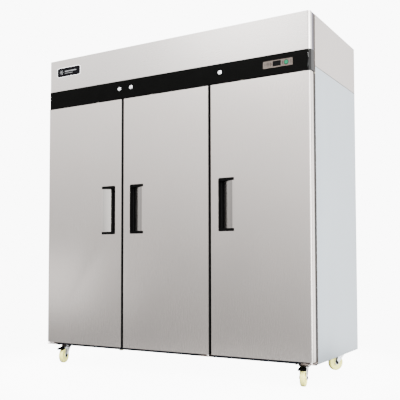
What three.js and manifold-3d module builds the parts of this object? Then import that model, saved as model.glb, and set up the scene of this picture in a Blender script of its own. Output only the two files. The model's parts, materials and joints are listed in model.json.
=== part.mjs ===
// A three-door reach-in refrigerator on casters, in millimetres, +Z up.
// The origin is the centre of its footprint on the floor. The doors face -Y, and +X is the right
// hand of a person who stands in front of it. The left door is hung on its left edge, and the
// middle and right doors are hung on their right edges.
import * as THREE from 'three';
import { mergeVertices } from 'three/addons/utils/BufferGeometryUtils.js';
import Module from 'manifold-3d';

const wasm = await Module();
wasm.setup();

// Overall
const WIDTH = 1976;
const DEPTH = 820;
const HEIGHT = 2135;
const FRONT = -DEPTH / 2;
const BACK = DEPTH / 2;
const EDGE = WIDTH / 2;
const SHEET = 1.2;
const GAP = 0.3;

// Heights above the floor
const BASE_Z = 127;
const DOOR_Z = 147;
const DOOR_TOP_Z = 1787;
const STRIP_Z = 1794;
const DECK_Z = 1831;
const FASCIA_Z = 1914;
const LOCK_Z = 1859;

// Doors
const DOOR_GAP = 13;
const DOOR_WIDTH = (WIDTH - 2 * DOOR_GAP) / 3;
const DOOR_HEIGHT = DOOR_TOP_Z - DOOR_Z;
const DOOR_DEPTH = 55;
const OUTER_RADIUS = 10;
const INNER_RADIUS = 4;
const PIVOT_INSET = 18;
const PIN_RADIUS = 5;
const PIN_HOLE_RADIUS = 6.5;
const GASKET_INSET = 19;
const GASKET_WIDTH = 14;
const RAISED_INSET = 45;
const RAISED_DEPTH = 10;

// Finger pocket of a door: measured from its deep edge, away from the door's opening edge
const POCKET_INSET = 56;
const POCKET_WIDTH = 113;
const POCKET_Z = 889 - DOOR_Z;
const POCKET_TOP_Z = 1213 - DOOR_Z;
const POCKET_LIP = 10;
const TROUGH_WIDTH = 40;
const TROUGH_DEPTH = 34;
const SLOPE_DEPTH = 24;
const MOULDING = 2.5;

// Cabinet
const CABINET_FRONT = FRONT + 68;
const CROWN_FRONT = FRONT + 4;
const CROWN_BACK = FRONT + 58;
const WALL = 50;
const FRAME_DEPTH = 3;
const STILE = 52;
const MULLION_HALF = 42;
const MULLION_DEPTH = 50;
const LINER = 1;
const LINER_Z = 184;
const LINER_TOP_Z = 1750;
const SHELF_HEIGHTS = { lower: 540, centre: 880, upper: 1220 };
const SHELF_FRONT = -275;
const SHELF_BACK = 345;
const SHELF_ROD = 8;
const SHELF_BARS = 9;

// Casters
const SWIVEL_X = 898;
const SWIVEL_Y = 310;
const PLATE_Z = 124;
const WHEEL_RADIUS = 50;
const WHEEL_WIDTH = 30;
const TRAIL = 35;
const AXLE_RADIUS = 5;
const LEG_THICKNESS = 3;

// Machine compartment and evaporator
const CONDENSER_X = 470;
const COMPRESSOR_RADIUS = 85;
const EVAPORATOR_Y = 120;
const EVAPORATOR_HALF = 290;
const EVAPORATOR_Z = 1610;

const refrigerator = new THREE.Group();

const colours = {
  steel: [0xc9c6c2, 0.32, 0.9],
  sideSteel: [0xd3d6d8, 0.4, 0.85],
  galvanised: [0xaeb2b4, 0.5, 0.8],
  linerSteel: [0xd6d8d8, 0.35, 0.85],
  foam: [0xe8dcae, 0.95, 0],
  rubber: [0x5a5d60, 0.7, 0],
  blackPlastic: [0x121312, 0.45, 0],
  badge: [0x17181a, 0.3, 0.1],
  panelGrey: [0x8f877d, 0.4, 0.2],
  green: [0x12a87e, 0.25, 0],
  greyButton: [0x9a948b, 0.4, 0],
  chrome: [0xd8d8d8, 0.15, 1],
  zinc: [0xbfc2c4, 0.3, 0.95],
  nylon: [0xe6e2b8, 0.45, 0],
  compressor: [0x1c1d1f, 0.5, 0.3],
  fins: [0xb9bdbf, 0.45, 0.9],
  wire: [0xdfe2e3, 0.35, 0.6],
};

function material(name) {
  const [color, roughness, metalness] = colours[name];
  return new THREE.MeshStandardMaterial({ color, roughness, metalness });
}

function add(parent, name, geometry, colour) {
  const mesh = new THREE.Mesh(geometry, material(colour));
  mesh.name = name;
  parent.add(mesh);
  return mesh;
}

// Geometry helpers. Each takes and gives closed geometries with their place in them.

function box(x0, x1, y0, y1, z0, z1) {
  const geometry = new THREE.BoxGeometry(Math.abs(x1 - x0), Math.abs(y1 - y0), Math.abs(z1 - z0));
  return geometry.translate((x0 + x1) / 2, (y0 + y1) / 2, (z0 + z1) / 2);
}

function rod(radius, length, axis, x, y, z, sides = 20) {
  const geometry = new THREE.CylinderGeometry(radius, radius, length, sides);
  if (axis === 'x') geometry.rotateZ(Math.PI / 2);
  if (axis === 'z') geometry.rotateX(Math.PI / 2);
  return geometry.translate(x, y, z);
}

// A plan outline, in X and Y, pulled up from z0 to z1.
function prism(shape, z0, z1) {
  const settings = { depth: z1 - z0, bevelEnabled: false, curveSegments: 5 };
  return new THREE.ExtrudeGeometry(shape, settings).translate(0, 0, z0);
}

// A side outline, in Y and Z, pulled from x0 to x1.
function sidePrism(points, x0, x1) {
  const shape = new THREE.Shape(points.map(([y, z]) => new THREE.Vector2(y, z)));
  const geometry = new THREE.ExtrudeGeometry(shape, { depth: x1 - x0, bevelEnabled: false });
  const turn = new THREE.Matrix4().set(0, 0, 1, 0, 1, 0, 0, 0, 0, 1, 0, 0, 0, 0, 0, 1);
  return geometry.applyMatrix4(turn).translate(x0, 0, 0);
}

function outline(points) {
  return new THREE.Shape(points.map(([x, y]) => new THREE.Vector2(x, y)));
}

// A plan outline with two round corners at its front, such as a folded panel's.
function panOutline(x0, x1, y0, y1, leftRadius, rightRadius) {
  const shape = new THREE.Shape();
  shape.moveTo(x0, y1);
  shape.lineTo(x0, y0 + leftRadius);
  shape.absarc(x0 + leftRadius, y0 + leftRadius, leftRadius, Math.PI, 1.5 * Math.PI, false);
  shape.lineTo(x1 - rightRadius, y0);
  shape.absarc(x1 - rightRadius, y0 + rightRadius, rightRadius, 1.5 * Math.PI, 2 * Math.PI, false);
  shape.lineTo(x1, y1);
  shape.closePath();
  return shape;
}

function solid(geometry) {
  const bare = geometry.clone();
  bare.deleteAttribute('normal');
  bare.deleteAttribute('uv');
  const merged = mergeVertices(bare, 1e-4);
  const mesh = new wasm.Mesh({
    numProp: 3,
    vertProperties: new Float32Array(merged.attributes.position.array),
    triVerts: new Uint32Array(merged.index.array),
  });
  return new wasm.Manifold(mesh);
}

function geometryOf(body) {
  const mesh = body.getMesh();
  const geometry = new THREE.BufferGeometry();
  geometry.setAttribute('position', new THREE.BufferAttribute(mesh.vertProperties, 3));
  geometry.setIndex(new THREE.BufferAttribute(mesh.triVerts, 1));
  geometry.computeVertexNormals();
  return geometry;
}

function join(...geometries) {
  return geometryOf(geometries.map(solid).reduce((sum, next) => sum.add(next)));
}

function cut(geometry, ...tools) {
  return geometryOf(tools.map(solid).reduce((rest, tool) => rest.subtract(tool), solid(geometry)));
}

// Doors: each one in a group at the middle of its lower front edge, with y running back.

// The pocket's outlines are pairs of (distance from the deep edge, depth behind the door's face).
const troughInside = [
  [0, 0], [0, TROUGH_DEPTH - 6], [8, TROUGH_DEPTH], [26, TROUGH_DEPTH - 0.5], [TROUGH_WIDTH, SLOPE_DEPTH],
];
const troughOutside = [
  [TROUGH_WIDTH, SLOPE_DEPTH + 3], [27, TROUGH_DEPTH + 2.2], [6.9, TROUGH_DEPTH + MOULDING],
  [-MOULDING, TROUGH_DEPTH - 4.6], [-MOULDING, 0],
];
const endWedge = [...troughOutside, [POCKET_WIDTH - 0.4, 0], [POCKET_WIDTH - 0.4, 1.6]];
const tongue = [
  [POCKET_WIDTH + 1.5, 0], [POCKET_WIDTH + GAP, 0], [TROUGH_WIDTH + GAP, SLOPE_DEPTH - 0.4],
  [TROUGH_WIDTH + GAP, SLOPE_DEPTH + 0.9], [POCKET_WIDTH + 1.5, SHEET],
];
const foamNotch = [
  [-MOULDING - 0.7, -1], [-MOULDING - 0.7, TROUGH_DEPTH + 4], [TROUGH_WIDTH - 9, TROUGH_DEPTH + 4],
  [TROUGH_WIDTH + 5, SLOPE_DEPTH + 5], [POCKET_WIDTH + 5, 3], [POCKET_WIDTH + 5, -1],
];

function pocketPrism(points, hand, z0, z1) {
  const deepEdge = -DOOR_WIDTH / 2 + POCKET_INSET;
  return prism(outline(points.map(([s, depth]) => [hand * (deepEdge + s), depth])), z0, z1);
}

function doorSkin(hand, radii, pinHoles) {
  const half = DOOR_WIDTH / 2;
  const outside = panOutline(-half, half, 0, DOOR_DEPTH, ...radii);
  const innerRadii = radii.map((radius) => radius - SHEET);
  const inside = panOutline(-half + SHEET, half - SHEET, SHEET, DOOR_DEPTH + 1, ...innerRadii);
  const window = [
    [-MOULDING - GAP, -1], [POCKET_WIDTH + GAP, -1], [POCKET_WIDTH + GAP, 3], [-MOULDING - GAP, 3],
  ];
  const pan = cut(
    prism(outside, 0, DOOR_HEIGHT),
    prism(inside, SHEET, DOOR_HEIGHT - SHEET),
    pocketPrism(window, hand, POCKET_Z, POCKET_TOP_Z),
    ...pinHoles,
  );
  const lip = POCKET_LIP + GAP;
  return join(pan, pocketPrism(tongue, hand, POCKET_Z + lip, POCKET_TOP_Z - lip));
}

function doorFoam(hand, radii, pinHoles) {
  const edge = DOOR_WIDTH / 2 - SHEET - GAP;
  const start = SHEET + GAP;
  const coreRadii = radii.map((radius) => radius - start);
  const core = panOutline(-edge, edge, start, DOOR_DEPTH - start, ...coreRadii);
  return cut(
    prism(core, start, DOOR_HEIGHT - start),
    pocketPrism(foamNotch, hand, POCKET_Z - GAP, POCKET_TOP_Z + GAP),
    ...pinHoles,
  );
}

function doorHandle(hand) {
  const lower = POCKET_Z + GAP;
  const upper = POCKET_TOP_Z - GAP;
  return join(
    pocketPrism([...troughInside, ...troughOutside], hand, lower, upper),
    pocketPrism(endWedge, hand, lower, lower + POCKET_LIP - GAP),
    pocketPrism(endWedge, hand, upper - POCKET_LIP + GAP, upper),
  );
}

function doorLiner() {
  const edge = DOOR_WIDTH / 2 - SHEET - GAP;
  const raised = DOOR_WIDTH / 2 - RAISED_INSET;
  const low = SHEET + GAP;
  const high = DOOR_HEIGHT - low;
  const face = DOOR_DEPTH + RAISED_DEPTH;
  const plate = join(
    box(-edge, edge, DOOR_DEPTH - SHEET, DOOR_DEPTH, low, high),
    box(-raised, raised, DOOR_DEPTH - SHEET, face, RAISED_INSET, DOOR_HEIGHT - RAISED_INSET),
  );
  const hollow = raised - SHEET;
  const rim = RAISED_INSET + SHEET;
  return cut(plate, box(-hollow, hollow, DOOR_DEPTH - 5, face - SHEET, rim, DOOR_HEIGHT - rim));
}

function doorGasket() {
  const outer = DOOR_WIDTH / 2 - GASKET_INSET;
  const inner = outer - GASKET_WIDTH;
  const front = DOOR_DEPTH + GAP;
  const back = CABINET_FRONT - FRONT - GAP;
  const low = GASKET_INSET;
  const high = DOOR_HEIGHT - GASKET_INSET;
  return cut(
    box(-outer, outer, front, back, low, high),
    box(-inner, inner, front - 1, back + 1, low + GASKET_WIDTH, high - GASKET_WIDTH),
  );
}

const doors = [
  { name: 'left', hand: -1, column: -1, radii: [OUTER_RADIUS, INNER_RADIUS] },
  { name: 'middle', hand: 1, column: 0, radii: [INNER_RADIUS, INNER_RADIUS] },
  { name: 'right', hand: 1, column: 1, radii: [INNER_RADIUS, OUTER_RADIUS] },
];

// The leaf that carries one end of a door: it stands on the face frame and holds the door's pin.
function hingeBracket(hand, leafZ, leafThickness, footZ, pinZ) {
  const wide = 56;
  const narrow = 16;
  const leafFront = -PIVOT_INSET + 8;
  const footFront = CABINET_FRONT - FRONT - PIVOT_INSET - GAP - 3;
  const pieces = [
    box(-hand * wide, hand * narrow, leafFront - 8, footFront + 3, leafZ, leafZ + leafThickness),
    box(-hand * wide, hand * narrow, footFront, footFront + 3, ...footZ),
    rod(PIN_RADIUS, pinZ[1] - pinZ[0], 'z', 0, 0, (pinZ[0] + pinZ[1]) / 2),
  ];
  return join(...pieces);
}

for (const { name, hand, column, radii } of doors) {
  const door = new THREE.Group();
  door.position.set(column * (DOOR_WIDTH + DOOR_GAP), FRONT, DOOR_Z);
  refrigerator.add(door);

  const pivotX = hand * (DOOR_WIDTH / 2 - PIVOT_INSET);
  const holeDepth = 20;
  const pinHoles = [0, DOOR_HEIGHT].map((z) => (
    rod(PIN_HOLE_RADIUS, 2 * holeDepth, 'z', pivotX, PIVOT_INSET, z)
  ));
  add(door, `door_${name}_skin`, doorSkin(hand, radii, pinHoles), 'steel');
  add(door, `door_${name}_foam`, doorFoam(hand, radii, pinHoles), 'foam');
  add(door, `door_${name}_liner`, doorLiner(), 'linerSteel');
  add(door, `door_${name}_gasket`, doorGasket(), 'rubber');
  add(door, `door_${name}_handle`, doorHandle(hand), 'blackPlastic');

  const hinges = new THREE.Group();
  hinges.position.set(door.position.x + pivotX, FRONT + PIVOT_INSET, 0);
  refrigerator.add(hinges);
  const bottomLeafZ = BASE_Z + 7;
  const bottom = hingeBracket(hand, bottomLeafZ, 5, [BASE_Z + 2, DOOR_Z - 1], [bottomLeafZ, DOOR_Z + 14]);
  const collar = rod(9, 9, 'z', 0, 0, DOOR_Z - 5);
  add(hinges, `hinge_${name}_bottom`, join(bottom, collar), 'zinc');
  const topLeafZ = DOOR_TOP_Z + 1.5;
  const top = hingeBracket(hand, topLeafZ, 4, [topLeafZ, DECK_Z - 6], [DOOR_TOP_Z - 13, topLeafZ + 2]);
  add(hinges, `hinge_${name}_top`, top, 'zinc');
}

// Cabinet: outer panels, foam, liner, face frame and mullions.

const insideEdge = EDGE - SHEET - GAP;
const insideBack = BACK - SHEET - GAP;
const foamFront = CABINET_FRONT + FRAME_DEPTH + GAP;
const linerEdge = EDGE - STILE;
const linerBack = insideBack - WALL;

const sideOutline = [
  [CABINET_FRONT, BASE_Z], [insideBack, BASE_Z], [insideBack, DECK_Z - GAP], [CROWN_BACK + GAP, DECK_Z - GAP],
  [CROWN_BACK + GAP, DOOR_TOP_Z + 3], [CABINET_FRONT, DOOR_TOP_Z + 3],
];
const upperOutline = [
  [CROWN_BACK + GAP, DECK_Z], [insideBack, DECK_Z], [insideBack, HEIGHT], [CROWN_BACK + GAP, HEIGHT],
];
for (const [name, x] of [['left', -EDGE], ['right', EDGE - SHEET]]) {
  add(refrigerator, `side_panel_${name}`, sidePrism(sideOutline, x, x + SHEET), 'sideSteel');
  add(refrigerator, `upper_panel_${name}`, sidePrism(upperOutline, x, x + SHEET), 'sideSteel');
}

function backPanel() {
  const rows = 6;
  const columns = 3;
  const slotLength = 420;
  const slots = [];
  for (let row = 0; row < rows; row += 1) {
    for (let column = 0; column < columns; column += 1) {
      const x = (column - 1) * 560;
      const z = DECK_Z + 70 + row * 32;
      slots.push(box(x - slotLength / 2, x + slotLength / 2, BACK - 5, BACK + 5, z, z + 12));
    }
  }
  return cut(box(-EDGE, EDGE, BACK - SHEET, BACK, BASE_Z, HEIGHT), ...slots);
}
add(refrigerator, 'back_panel', backPanel(), 'galvanised');

function basePan() {
  const pieces = [box(-insideEdge, insideEdge, CABINET_FRONT, insideBack, BASE_Z, BASE_Z + SHEET)];
  for (const x of [-SWIVEL_X, SWIVEL_X]) {
    for (const y of [-SWIVEL_Y, SWIVEL_Y]) {
      const front = Math.max(y - 47, CABINET_FRONT);
      pieces.push(box(x - 52, x + 52, front, y + 47, PLATE_Z, BASE_Z + SHEET / 2));
    }
  }
  return join(...pieces);
}
add(refrigerator, 'base_pan', basePan(), 'galvanised');

const deckTop = DECK_Z - GAP;
const deck = box(-insideEdge, insideEdge, CABINET_FRONT, insideBack, deckTop - SHEET, deckTop);
add(refrigerator, 'deck_panel', deck, 'galvanised');

const coreZ = BASE_Z + SHEET + GAP;
const coreTopZ = deckTop - SHEET - GAP;
const insulation = cut(
  box(-insideEdge, insideEdge, foamFront, insideBack, coreZ, coreTopZ),
  box(-linerEdge - GAP, linerEdge + GAP, foamFront - 1, linerBack + GAP, LINER_Z - GAP, LINER_TOP_Z + GAP),
);
add(refrigerator, 'cabinet_foam', insulation, 'foam');

const roomEdge = linerEdge - LINER;
const roomZ = LINER_Z + LINER;
const roomTopZ = LINER_TOP_Z - LINER;
const liner = cut(
  box(-linerEdge, linerEdge, foamFront, linerBack, LINER_Z, LINER_TOP_Z),
  box(-roomEdge, roomEdge, foamFront - 1, linerBack - LINER, roomZ, roomTopZ),
);
add(refrigerator, 'inner_liner', liner, 'linerSteel');

const columnPitch = DOOR_WIDTH + DOOR_GAP;
const mullionX = columnPitch / 2;

function faceFrame() {
  const inner = mullionX - MULLION_HALF;
  const outer = mullionX + MULLION_HALF;
  const plate = box(-insideEdge, insideEdge, CABINET_FRONT, CABINET_FRONT + FRAME_DEPTH, coreZ, coreTopZ);
  const openings = [[-linerEdge, -outer], [-inner, inner], [outer, linerEdge]].map(([x0, x1]) => (
    box(x0, x1, CABINET_FRONT - 1, foamFront, LINER_Z, LINER_TOP_Z)
  ));
  return cut(plate, ...openings);
}
add(refrigerator, 'face_frame', faceFrame(), 'steel');

for (const [name, x] of [['left', -mullionX], ['right', mullionX]]) {
  const half = MULLION_HALF - 2;
  const back = foamFront + MULLION_DEPTH;
  const channel = cut(
    box(x - half, x + half, foamFront, back, roomZ + GAP, roomTopZ - GAP),
    box(x - half + SHEET, x + half - SHEET, foamFront - 1, back - SHEET, roomZ, roomTopZ),
  );
  add(refrigerator, `mullion_${name}`, channel, 'linerSteel');
}

// Shelves: one level is the three shelves of the three sections, tied by short bars.
function shelfLevel(z) {
  const clear = 10;
  const sections = [
    [-roomEdge + clear, -mullionX - clear], [-mullionX + clear, mullionX - clear],
    [mullionX + clear, roomEdge - clear],
  ];
  const pieces = [];
  const inset = 1;
  const low = z + inset;
  const top = z + SHELF_ROD;
  for (const [x0, x1] of sections) {
    for (const y of [SHELF_FRONT, SHELF_BACK - SHELF_ROD]) {
      pieces.push(box(x0, x1, y, y + SHELF_ROD, z, top));
    }
    const start = x0 + inset;
    const pitch = (x1 - x0 - SHELF_ROD) / (SHELF_BARS - 1);
    for (let bar = 0; bar < SHELF_BARS; bar += 1) {
      const x = start + pitch * bar;
      const width = SHELF_ROD - 2 * inset;
      pieces.push(box(x, x + width, SHELF_FRONT + 2, SHELF_BACK - 2, low, top - inset));
    }
  }
  const tieFront = SHELF_BACK - SHELF_ROD + inset;
  for (const x of [-mullionX, mullionX]) {
    pieces.push(box(x - clear - 4, x + clear + 4, tieFront, SHELF_BACK - inset, low, top - inset));
  }
  return join(...pieces);
}
for (const [name, z] of Object.entries(SHELF_HEIGHTS)) {
  add(refrigerator, `shelf_${name}`, shelfLevel(z), 'wire');
}

// Crown: fascia, control strip, locks, badge and controller.

function crownShell(z0, z1, thickness, floor) {
  const inner = OUTER_RADIUS - thickness;
  return cut(
    prism(panOutline(-EDGE, EDGE, CROWN_FRONT, CROWN_BACK, OUTER_RADIUS, OUTER_RADIUS), z0, z1),
    prism(
      panOutline(-EDGE + thickness, EDGE - thickness, CROWN_FRONT + thickness, CROWN_BACK + 1, inner, inner),
      z0 + floor,
      z1 + 1,
    ),
  );
}
add(refrigerator, 'top_fascia', crownShell(FASCIA_Z, HEIGHT, SHEET, -1), 'steel');

const LOCKS = { left: [-362, -1], middle: [-268, 1], right: [403, 1] };
const BARREL_RADIUS = 9.5;
const PANEL = { x0: 694, x1: 880, z0: 1836, z1: 1878 };
const POWER = { x: 841, z: 1857, radius: 11 };
const SET = { x: 725, z: 1859, radius: 9 };
const panelBack = CROWN_FRONT - GAP;
const panelFront = panelBack - 1.5;

const bores = Object.values(LOCKS).map(([x]) => rod(BARREL_RADIUS + 1, 20, 'y', x, CROWN_FRONT, LOCK_Z));
for (const { x, z, radius } of [POWER, SET]) {
  bores.push(rod(radius + 1.5, 20, 'y', x, CROWN_FRONT, z));
}
const strip = cut(crownShell(STRIP_Z, FASCIA_Z - GAP, 3, 3), ...bores);
add(refrigerator, 'control_strip', strip, 'blackPlastic');

for (const [name, [x, side]] of Object.entries(LOCKS)) {
  const lock = new THREE.Group();
  lock.position.set(x, CROWN_FRONT, LOCK_Z);
  refrigerator.add(lock);
  const body = join(
    rod(13, 2.7, 'y', 0, -1.65, 0, 24),
    rod(BARREL_RADIUS, 32, 'y', 0, 14, 0),
    box(-side * 6, side * 28, 29, 32, -6, 6),
  );
  add(lock, `lock_${name}`, cut(body, box(-1, 1, -5, -1.5, -4.5, 4.5)), 'chrome');
}

function roundedPlate(x0, x1, z0, z1, radius, front, back) {
  const pieces = [
    box(x0 + radius, x1 - radius, front, back, z0, z1),
    box(x0, x1, front, back, z0 + radius, z1 - radius),
  ];
  for (const x of [x0 + radius, x1 - radius]) {
    for (const z of [z0 + radius, z1 - radius]) {
      pieces.push(rod(radius, back - front, 'y', x, (front + back) / 2, z));
    }
  }
  return join(...pieces);
}
add(refrigerator, 'badge', roundedPlate(-912, -706, 2014, 2075, 8, panelFront, panelBack), 'badge');

const display = { x0: 760, x1: 806, z0: 1843, z1: 1873 };
const controller = cut(
  roundedPlate(PANEL.x0, PANEL.x1, PANEL.z0, PANEL.z1, 4, panelFront, panelBack),
  box(display.x0, display.x1, panelFront - 1, panelFront + 0.7, display.z0, display.z1),
  ...[POWER, SET].map(({ x, z, radius }) => rod(radius + 0.6, 9, 'y', x, panelFront, z)),
);
add(refrigerator, 'controller_plate', controller, 'panelGrey');
for (const [name, { x, z, radius }, colour] of [['power', POWER, 'green'], ['set', SET, 'greyButton']]) {
  const button = add(refrigerator, `${name}_button`, rod(radius, 12, 'y', 0, 6, 0, 24), colour);
  button.position.set(x, FRONT + 0.2, z);
}

// Casters: each one in a group on its swivel axis, with the wheel trailing along local +Y.

const LEG_GAP = WHEEL_WIDTH / 2 + 2;
const AXLE_Z = WHEEL_RADIUS;
const PEDAL_PIVOT = [46, 108];

function casterFork(braked) {
  const raceZ = 106;
  const race = rod(36, PLATE_Z - GAP - raceZ, 'z', 0, 0, (PLATE_Z - GAP + raceZ) / 2, 32);
  const ears = braked ? [[56, 114], [56, 100], [48, 98]] : [[34, 114]];
  const leg = [
    [-22, 114], [-22, 100], [TRAIL - 15, AXLE_Z - 4], [TRAIL - 8, AXLE_Z - 13], [TRAIL + 8, AXLE_Z - 13],
    [TRAIL + 15, AXLE_Z - 4], [TRAIL + 4, 98], ...ears.reverse(),
  ];
  const pieces = [race, rod(AXLE_RADIUS, 2 * LEG_GAP + 8, 'x', 0, TRAIL, AXLE_Z)];
  for (const side of [-1, 1]) {
    const inner = side * LEG_GAP;
    const outer = side * (LEG_GAP + LEG_THICKNESS);
    pieces.push(sidePrism(leg, Math.min(inner, outer), Math.max(inner, outer)));
    pieces.push(rod(9, 5, 'x', side * (LEG_GAP + LEG_THICKNESS + 2), TRAIL, AXLE_Z, 6));
  }
  const fork = join(...pieces);
  return braked ? cut(fork, rod(3.5, 80, 'x', 0, ...PEDAL_PIVOT)) : fork;
}

function casterWheel() {
  const half = WHEEL_WIDTH / 2;
  const bore = AXLE_RADIUS + 0.5;
  const profile = [
    [bore, -half - 1], [14, -half - 1], [16, -half + 5], [37, -half + 1], [46, -half],
    [WHEEL_RADIUS, -half + 5], [WHEEL_RADIUS, half - 5], [46, half], [37, half - 1],
    [16, half - 5], [14, half + 1], [bore, half + 1], [bore, -half - 1],
  ];
  const points = profile.map(([radius, across]) => new THREE.Vector2(radius, across));
  const wheel = mergeVertices(stripped(new THREE.LatheGeometry(points, 28)), 1e-4);
  return wheel.rotateZ(Math.PI / 2).rotateX(Math.PI / 2);
}

function stripped(geometry) {
  geometry.deleteAttribute('normal');
  geometry.deleteAttribute('uv');
  return geometry;
}

function brakePedal() {
  const [pivotY, pivotZ] = PEDAL_PIVOT;
  const arm = LEG_GAP - 1;
  const side = [
    [pivotY - 6, pivotZ - 5], [pivotY + 14, pivotZ - 8], [88, 93], [88, 99], [pivotY + 14, pivotZ + 5],
    [pivotY - 6, pivotZ + 5],
  ];
  const tread = [[62, 97], [88, 93], [88, 100], [62, 110]];
  return join(
    sidePrism(side, -arm, arm),
    sidePrism(tread, -arm - 6, arm + 6),
    rod(3, 2 * (LEG_GAP + LEG_THICKNESS), 'x', 0, pivotY, pivotZ),
  );
}

const casters = [
  { name: 'front_left', x: -SWIVEL_X, y: -SWIVEL_Y, heading: 193, braked: true },
  { name: 'front_right', x: SWIVEL_X, y: -SWIVEL_Y, heading: 191, braked: true },
  { name: 'rear_left', x: -SWIVEL_X, y: SWIVEL_Y, heading: 20, braked: false },
  { name: 'rear_right', x: SWIVEL_X, y: SWIVEL_Y, heading: 144, braked: false },
];
for (const { name, x, y, heading, braked } of casters) {
  const caster = new THREE.Group();
  caster.position.set(x, y, 0);
  caster.rotation.z = THREE.MathUtils.degToRad(heading);
  refrigerator.add(caster);
  add(caster, `caster_${name}_fork`, casterFork(braked), 'zinc');
  const wheel = add(caster, `caster_${name}_wheel`, casterWheel(), 'nylon');
  wheel.position.set(0, TRAIL, AXLE_Z);
  if (braked) add(caster, `caster_${name}_pedal`, brakePedal(), 'blackPlastic');
}

// Machine compartment on the deck, and the evaporator under the ceiling.

function compressor() {
  const radius = COMPRESSOR_RADIUS;
  const arc = new THREE.QuadraticBezierCurve(
    new THREE.Vector2(radius, 150), new THREE.Vector2(radius, 195), new THREE.Vector2(0, 198),
  );
  const profile = [new THREE.Vector2(0, 2), new THREE.Vector2(radius - 8, 2), new THREE.Vector2(radius, 12)];
  const can = new THREE.LatheGeometry([...profile, ...arc.getPoints(6)], 32).rotateX(Math.PI / 2);
  return join(can, box(-110, 110, -70, 70, 0, 4), box(radius - 8, radius + 22, -28, 28, 50, 120));
}
const pump = add(refrigerator, 'compressor', compressor(), 'compressor');
pump.position.set(CONDENSER_X, 140, DECK_Z);

const condenserZ = [DECK_Z, 2090];
const core = box(CONDENSER_X - 175, CONDENSER_X + 175, -240, -160, ...condenserZ);
add(refrigerator, 'condenser', core, 'fins');

// A fan with its shaft along local Z.
function fan(radius, blades) {
  const pieces = [rod(24, 26, 'z', 0, 0, 0, 24)];
  for (let blade = 0; blade < blades; blade += 1) {
    const vane = new THREE.BoxGeometry(radius - 18, 58, 2.5);
    vane.rotateX(THREE.MathUtils.degToRad(24)).translate((radius + 18) / 2, 0, 0);
    pieces.push(vane.rotateZ(2 * Math.PI * blade / blades));
  }
  return join(...pieces);
}
const condenserFan = add(refrigerator, 'condenser_fan', fan(110, 5), 'blackPlastic');
condenserFan.rotation.x = Math.PI / 2;
condenserFan.position.set(CONDENSER_X, -125, 1965);

const ceiling = roomTopZ - GAP;
const cover = cut(
  box(-EVAPORATOR_HALF, EVAPORATOR_HALF, -60, 300, EVAPORATOR_Z, ceiling),
  box(
    -EVAPORATOR_HALF + SHEET, EVAPORATOR_HALF - SHEET, -60 + SHEET, 300 - SHEET,
    EVAPORATOR_Z + SHEET, ceiling + 1,
  ),
  rod(104, 20, 'z', 0, EVAPORATOR_Y, EVAPORATOR_Z, 40),
);
add(refrigerator, 'evaporator_cover', cover, 'linerSteel');
const evaporatorFan = add(refrigerator, 'evaporator_fan', fan(94, 5), 'blackPlastic');
evaporatorFan.position.set(0, EVAPORATOR_Y, EVAPORATOR_Z + 30);

export default refrigerator;
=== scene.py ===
"""Three-door reach-in refrigerator: fine pieces, finishes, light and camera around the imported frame.

Metres, +Z up, doors facing -Y. Places come from the frame's own boxes and joints.
"""
import bmesh
import bpy
import json
import math
from mathutils import Matrix, Vector


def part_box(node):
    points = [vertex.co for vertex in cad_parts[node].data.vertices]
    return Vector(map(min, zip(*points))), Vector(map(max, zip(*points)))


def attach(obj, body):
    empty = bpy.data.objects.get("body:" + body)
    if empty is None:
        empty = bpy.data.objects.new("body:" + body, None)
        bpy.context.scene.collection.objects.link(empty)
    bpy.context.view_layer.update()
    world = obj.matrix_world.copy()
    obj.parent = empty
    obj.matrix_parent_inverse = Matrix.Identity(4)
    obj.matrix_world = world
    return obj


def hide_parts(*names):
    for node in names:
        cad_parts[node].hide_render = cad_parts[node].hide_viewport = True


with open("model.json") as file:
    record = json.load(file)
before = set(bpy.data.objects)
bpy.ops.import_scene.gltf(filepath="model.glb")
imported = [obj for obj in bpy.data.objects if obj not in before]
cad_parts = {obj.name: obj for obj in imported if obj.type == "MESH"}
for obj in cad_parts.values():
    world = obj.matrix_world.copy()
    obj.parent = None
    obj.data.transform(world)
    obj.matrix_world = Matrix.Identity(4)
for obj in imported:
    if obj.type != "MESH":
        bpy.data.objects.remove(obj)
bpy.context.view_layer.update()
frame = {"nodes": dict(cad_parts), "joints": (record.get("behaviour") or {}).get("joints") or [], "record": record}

MM = 0.001
TINY = 1e-5
JOINTS = {joint["name"]: joint for joint in frame["joints"]}


# Camera


def make_camera():
    data = bpy.data.cameras.new("viewer")
    data.lens = 58.89
    data.shift_x = -0.01805
    data.shift_y = 0.0729
    camera = bpy.data.objects.new("viewer", data)
    camera.location = (2.3044, -3.8594, 0.7181)
    camera.rotation_euler = (math.radians(92.686), math.radians(0.143), math.radians(29.99))
    bpy.context.scene.collection.objects.link(camera)
    bpy.context.scene.camera = camera


# Finishes. Each one reads Object coordinates, so its grain has a real size.


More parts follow.
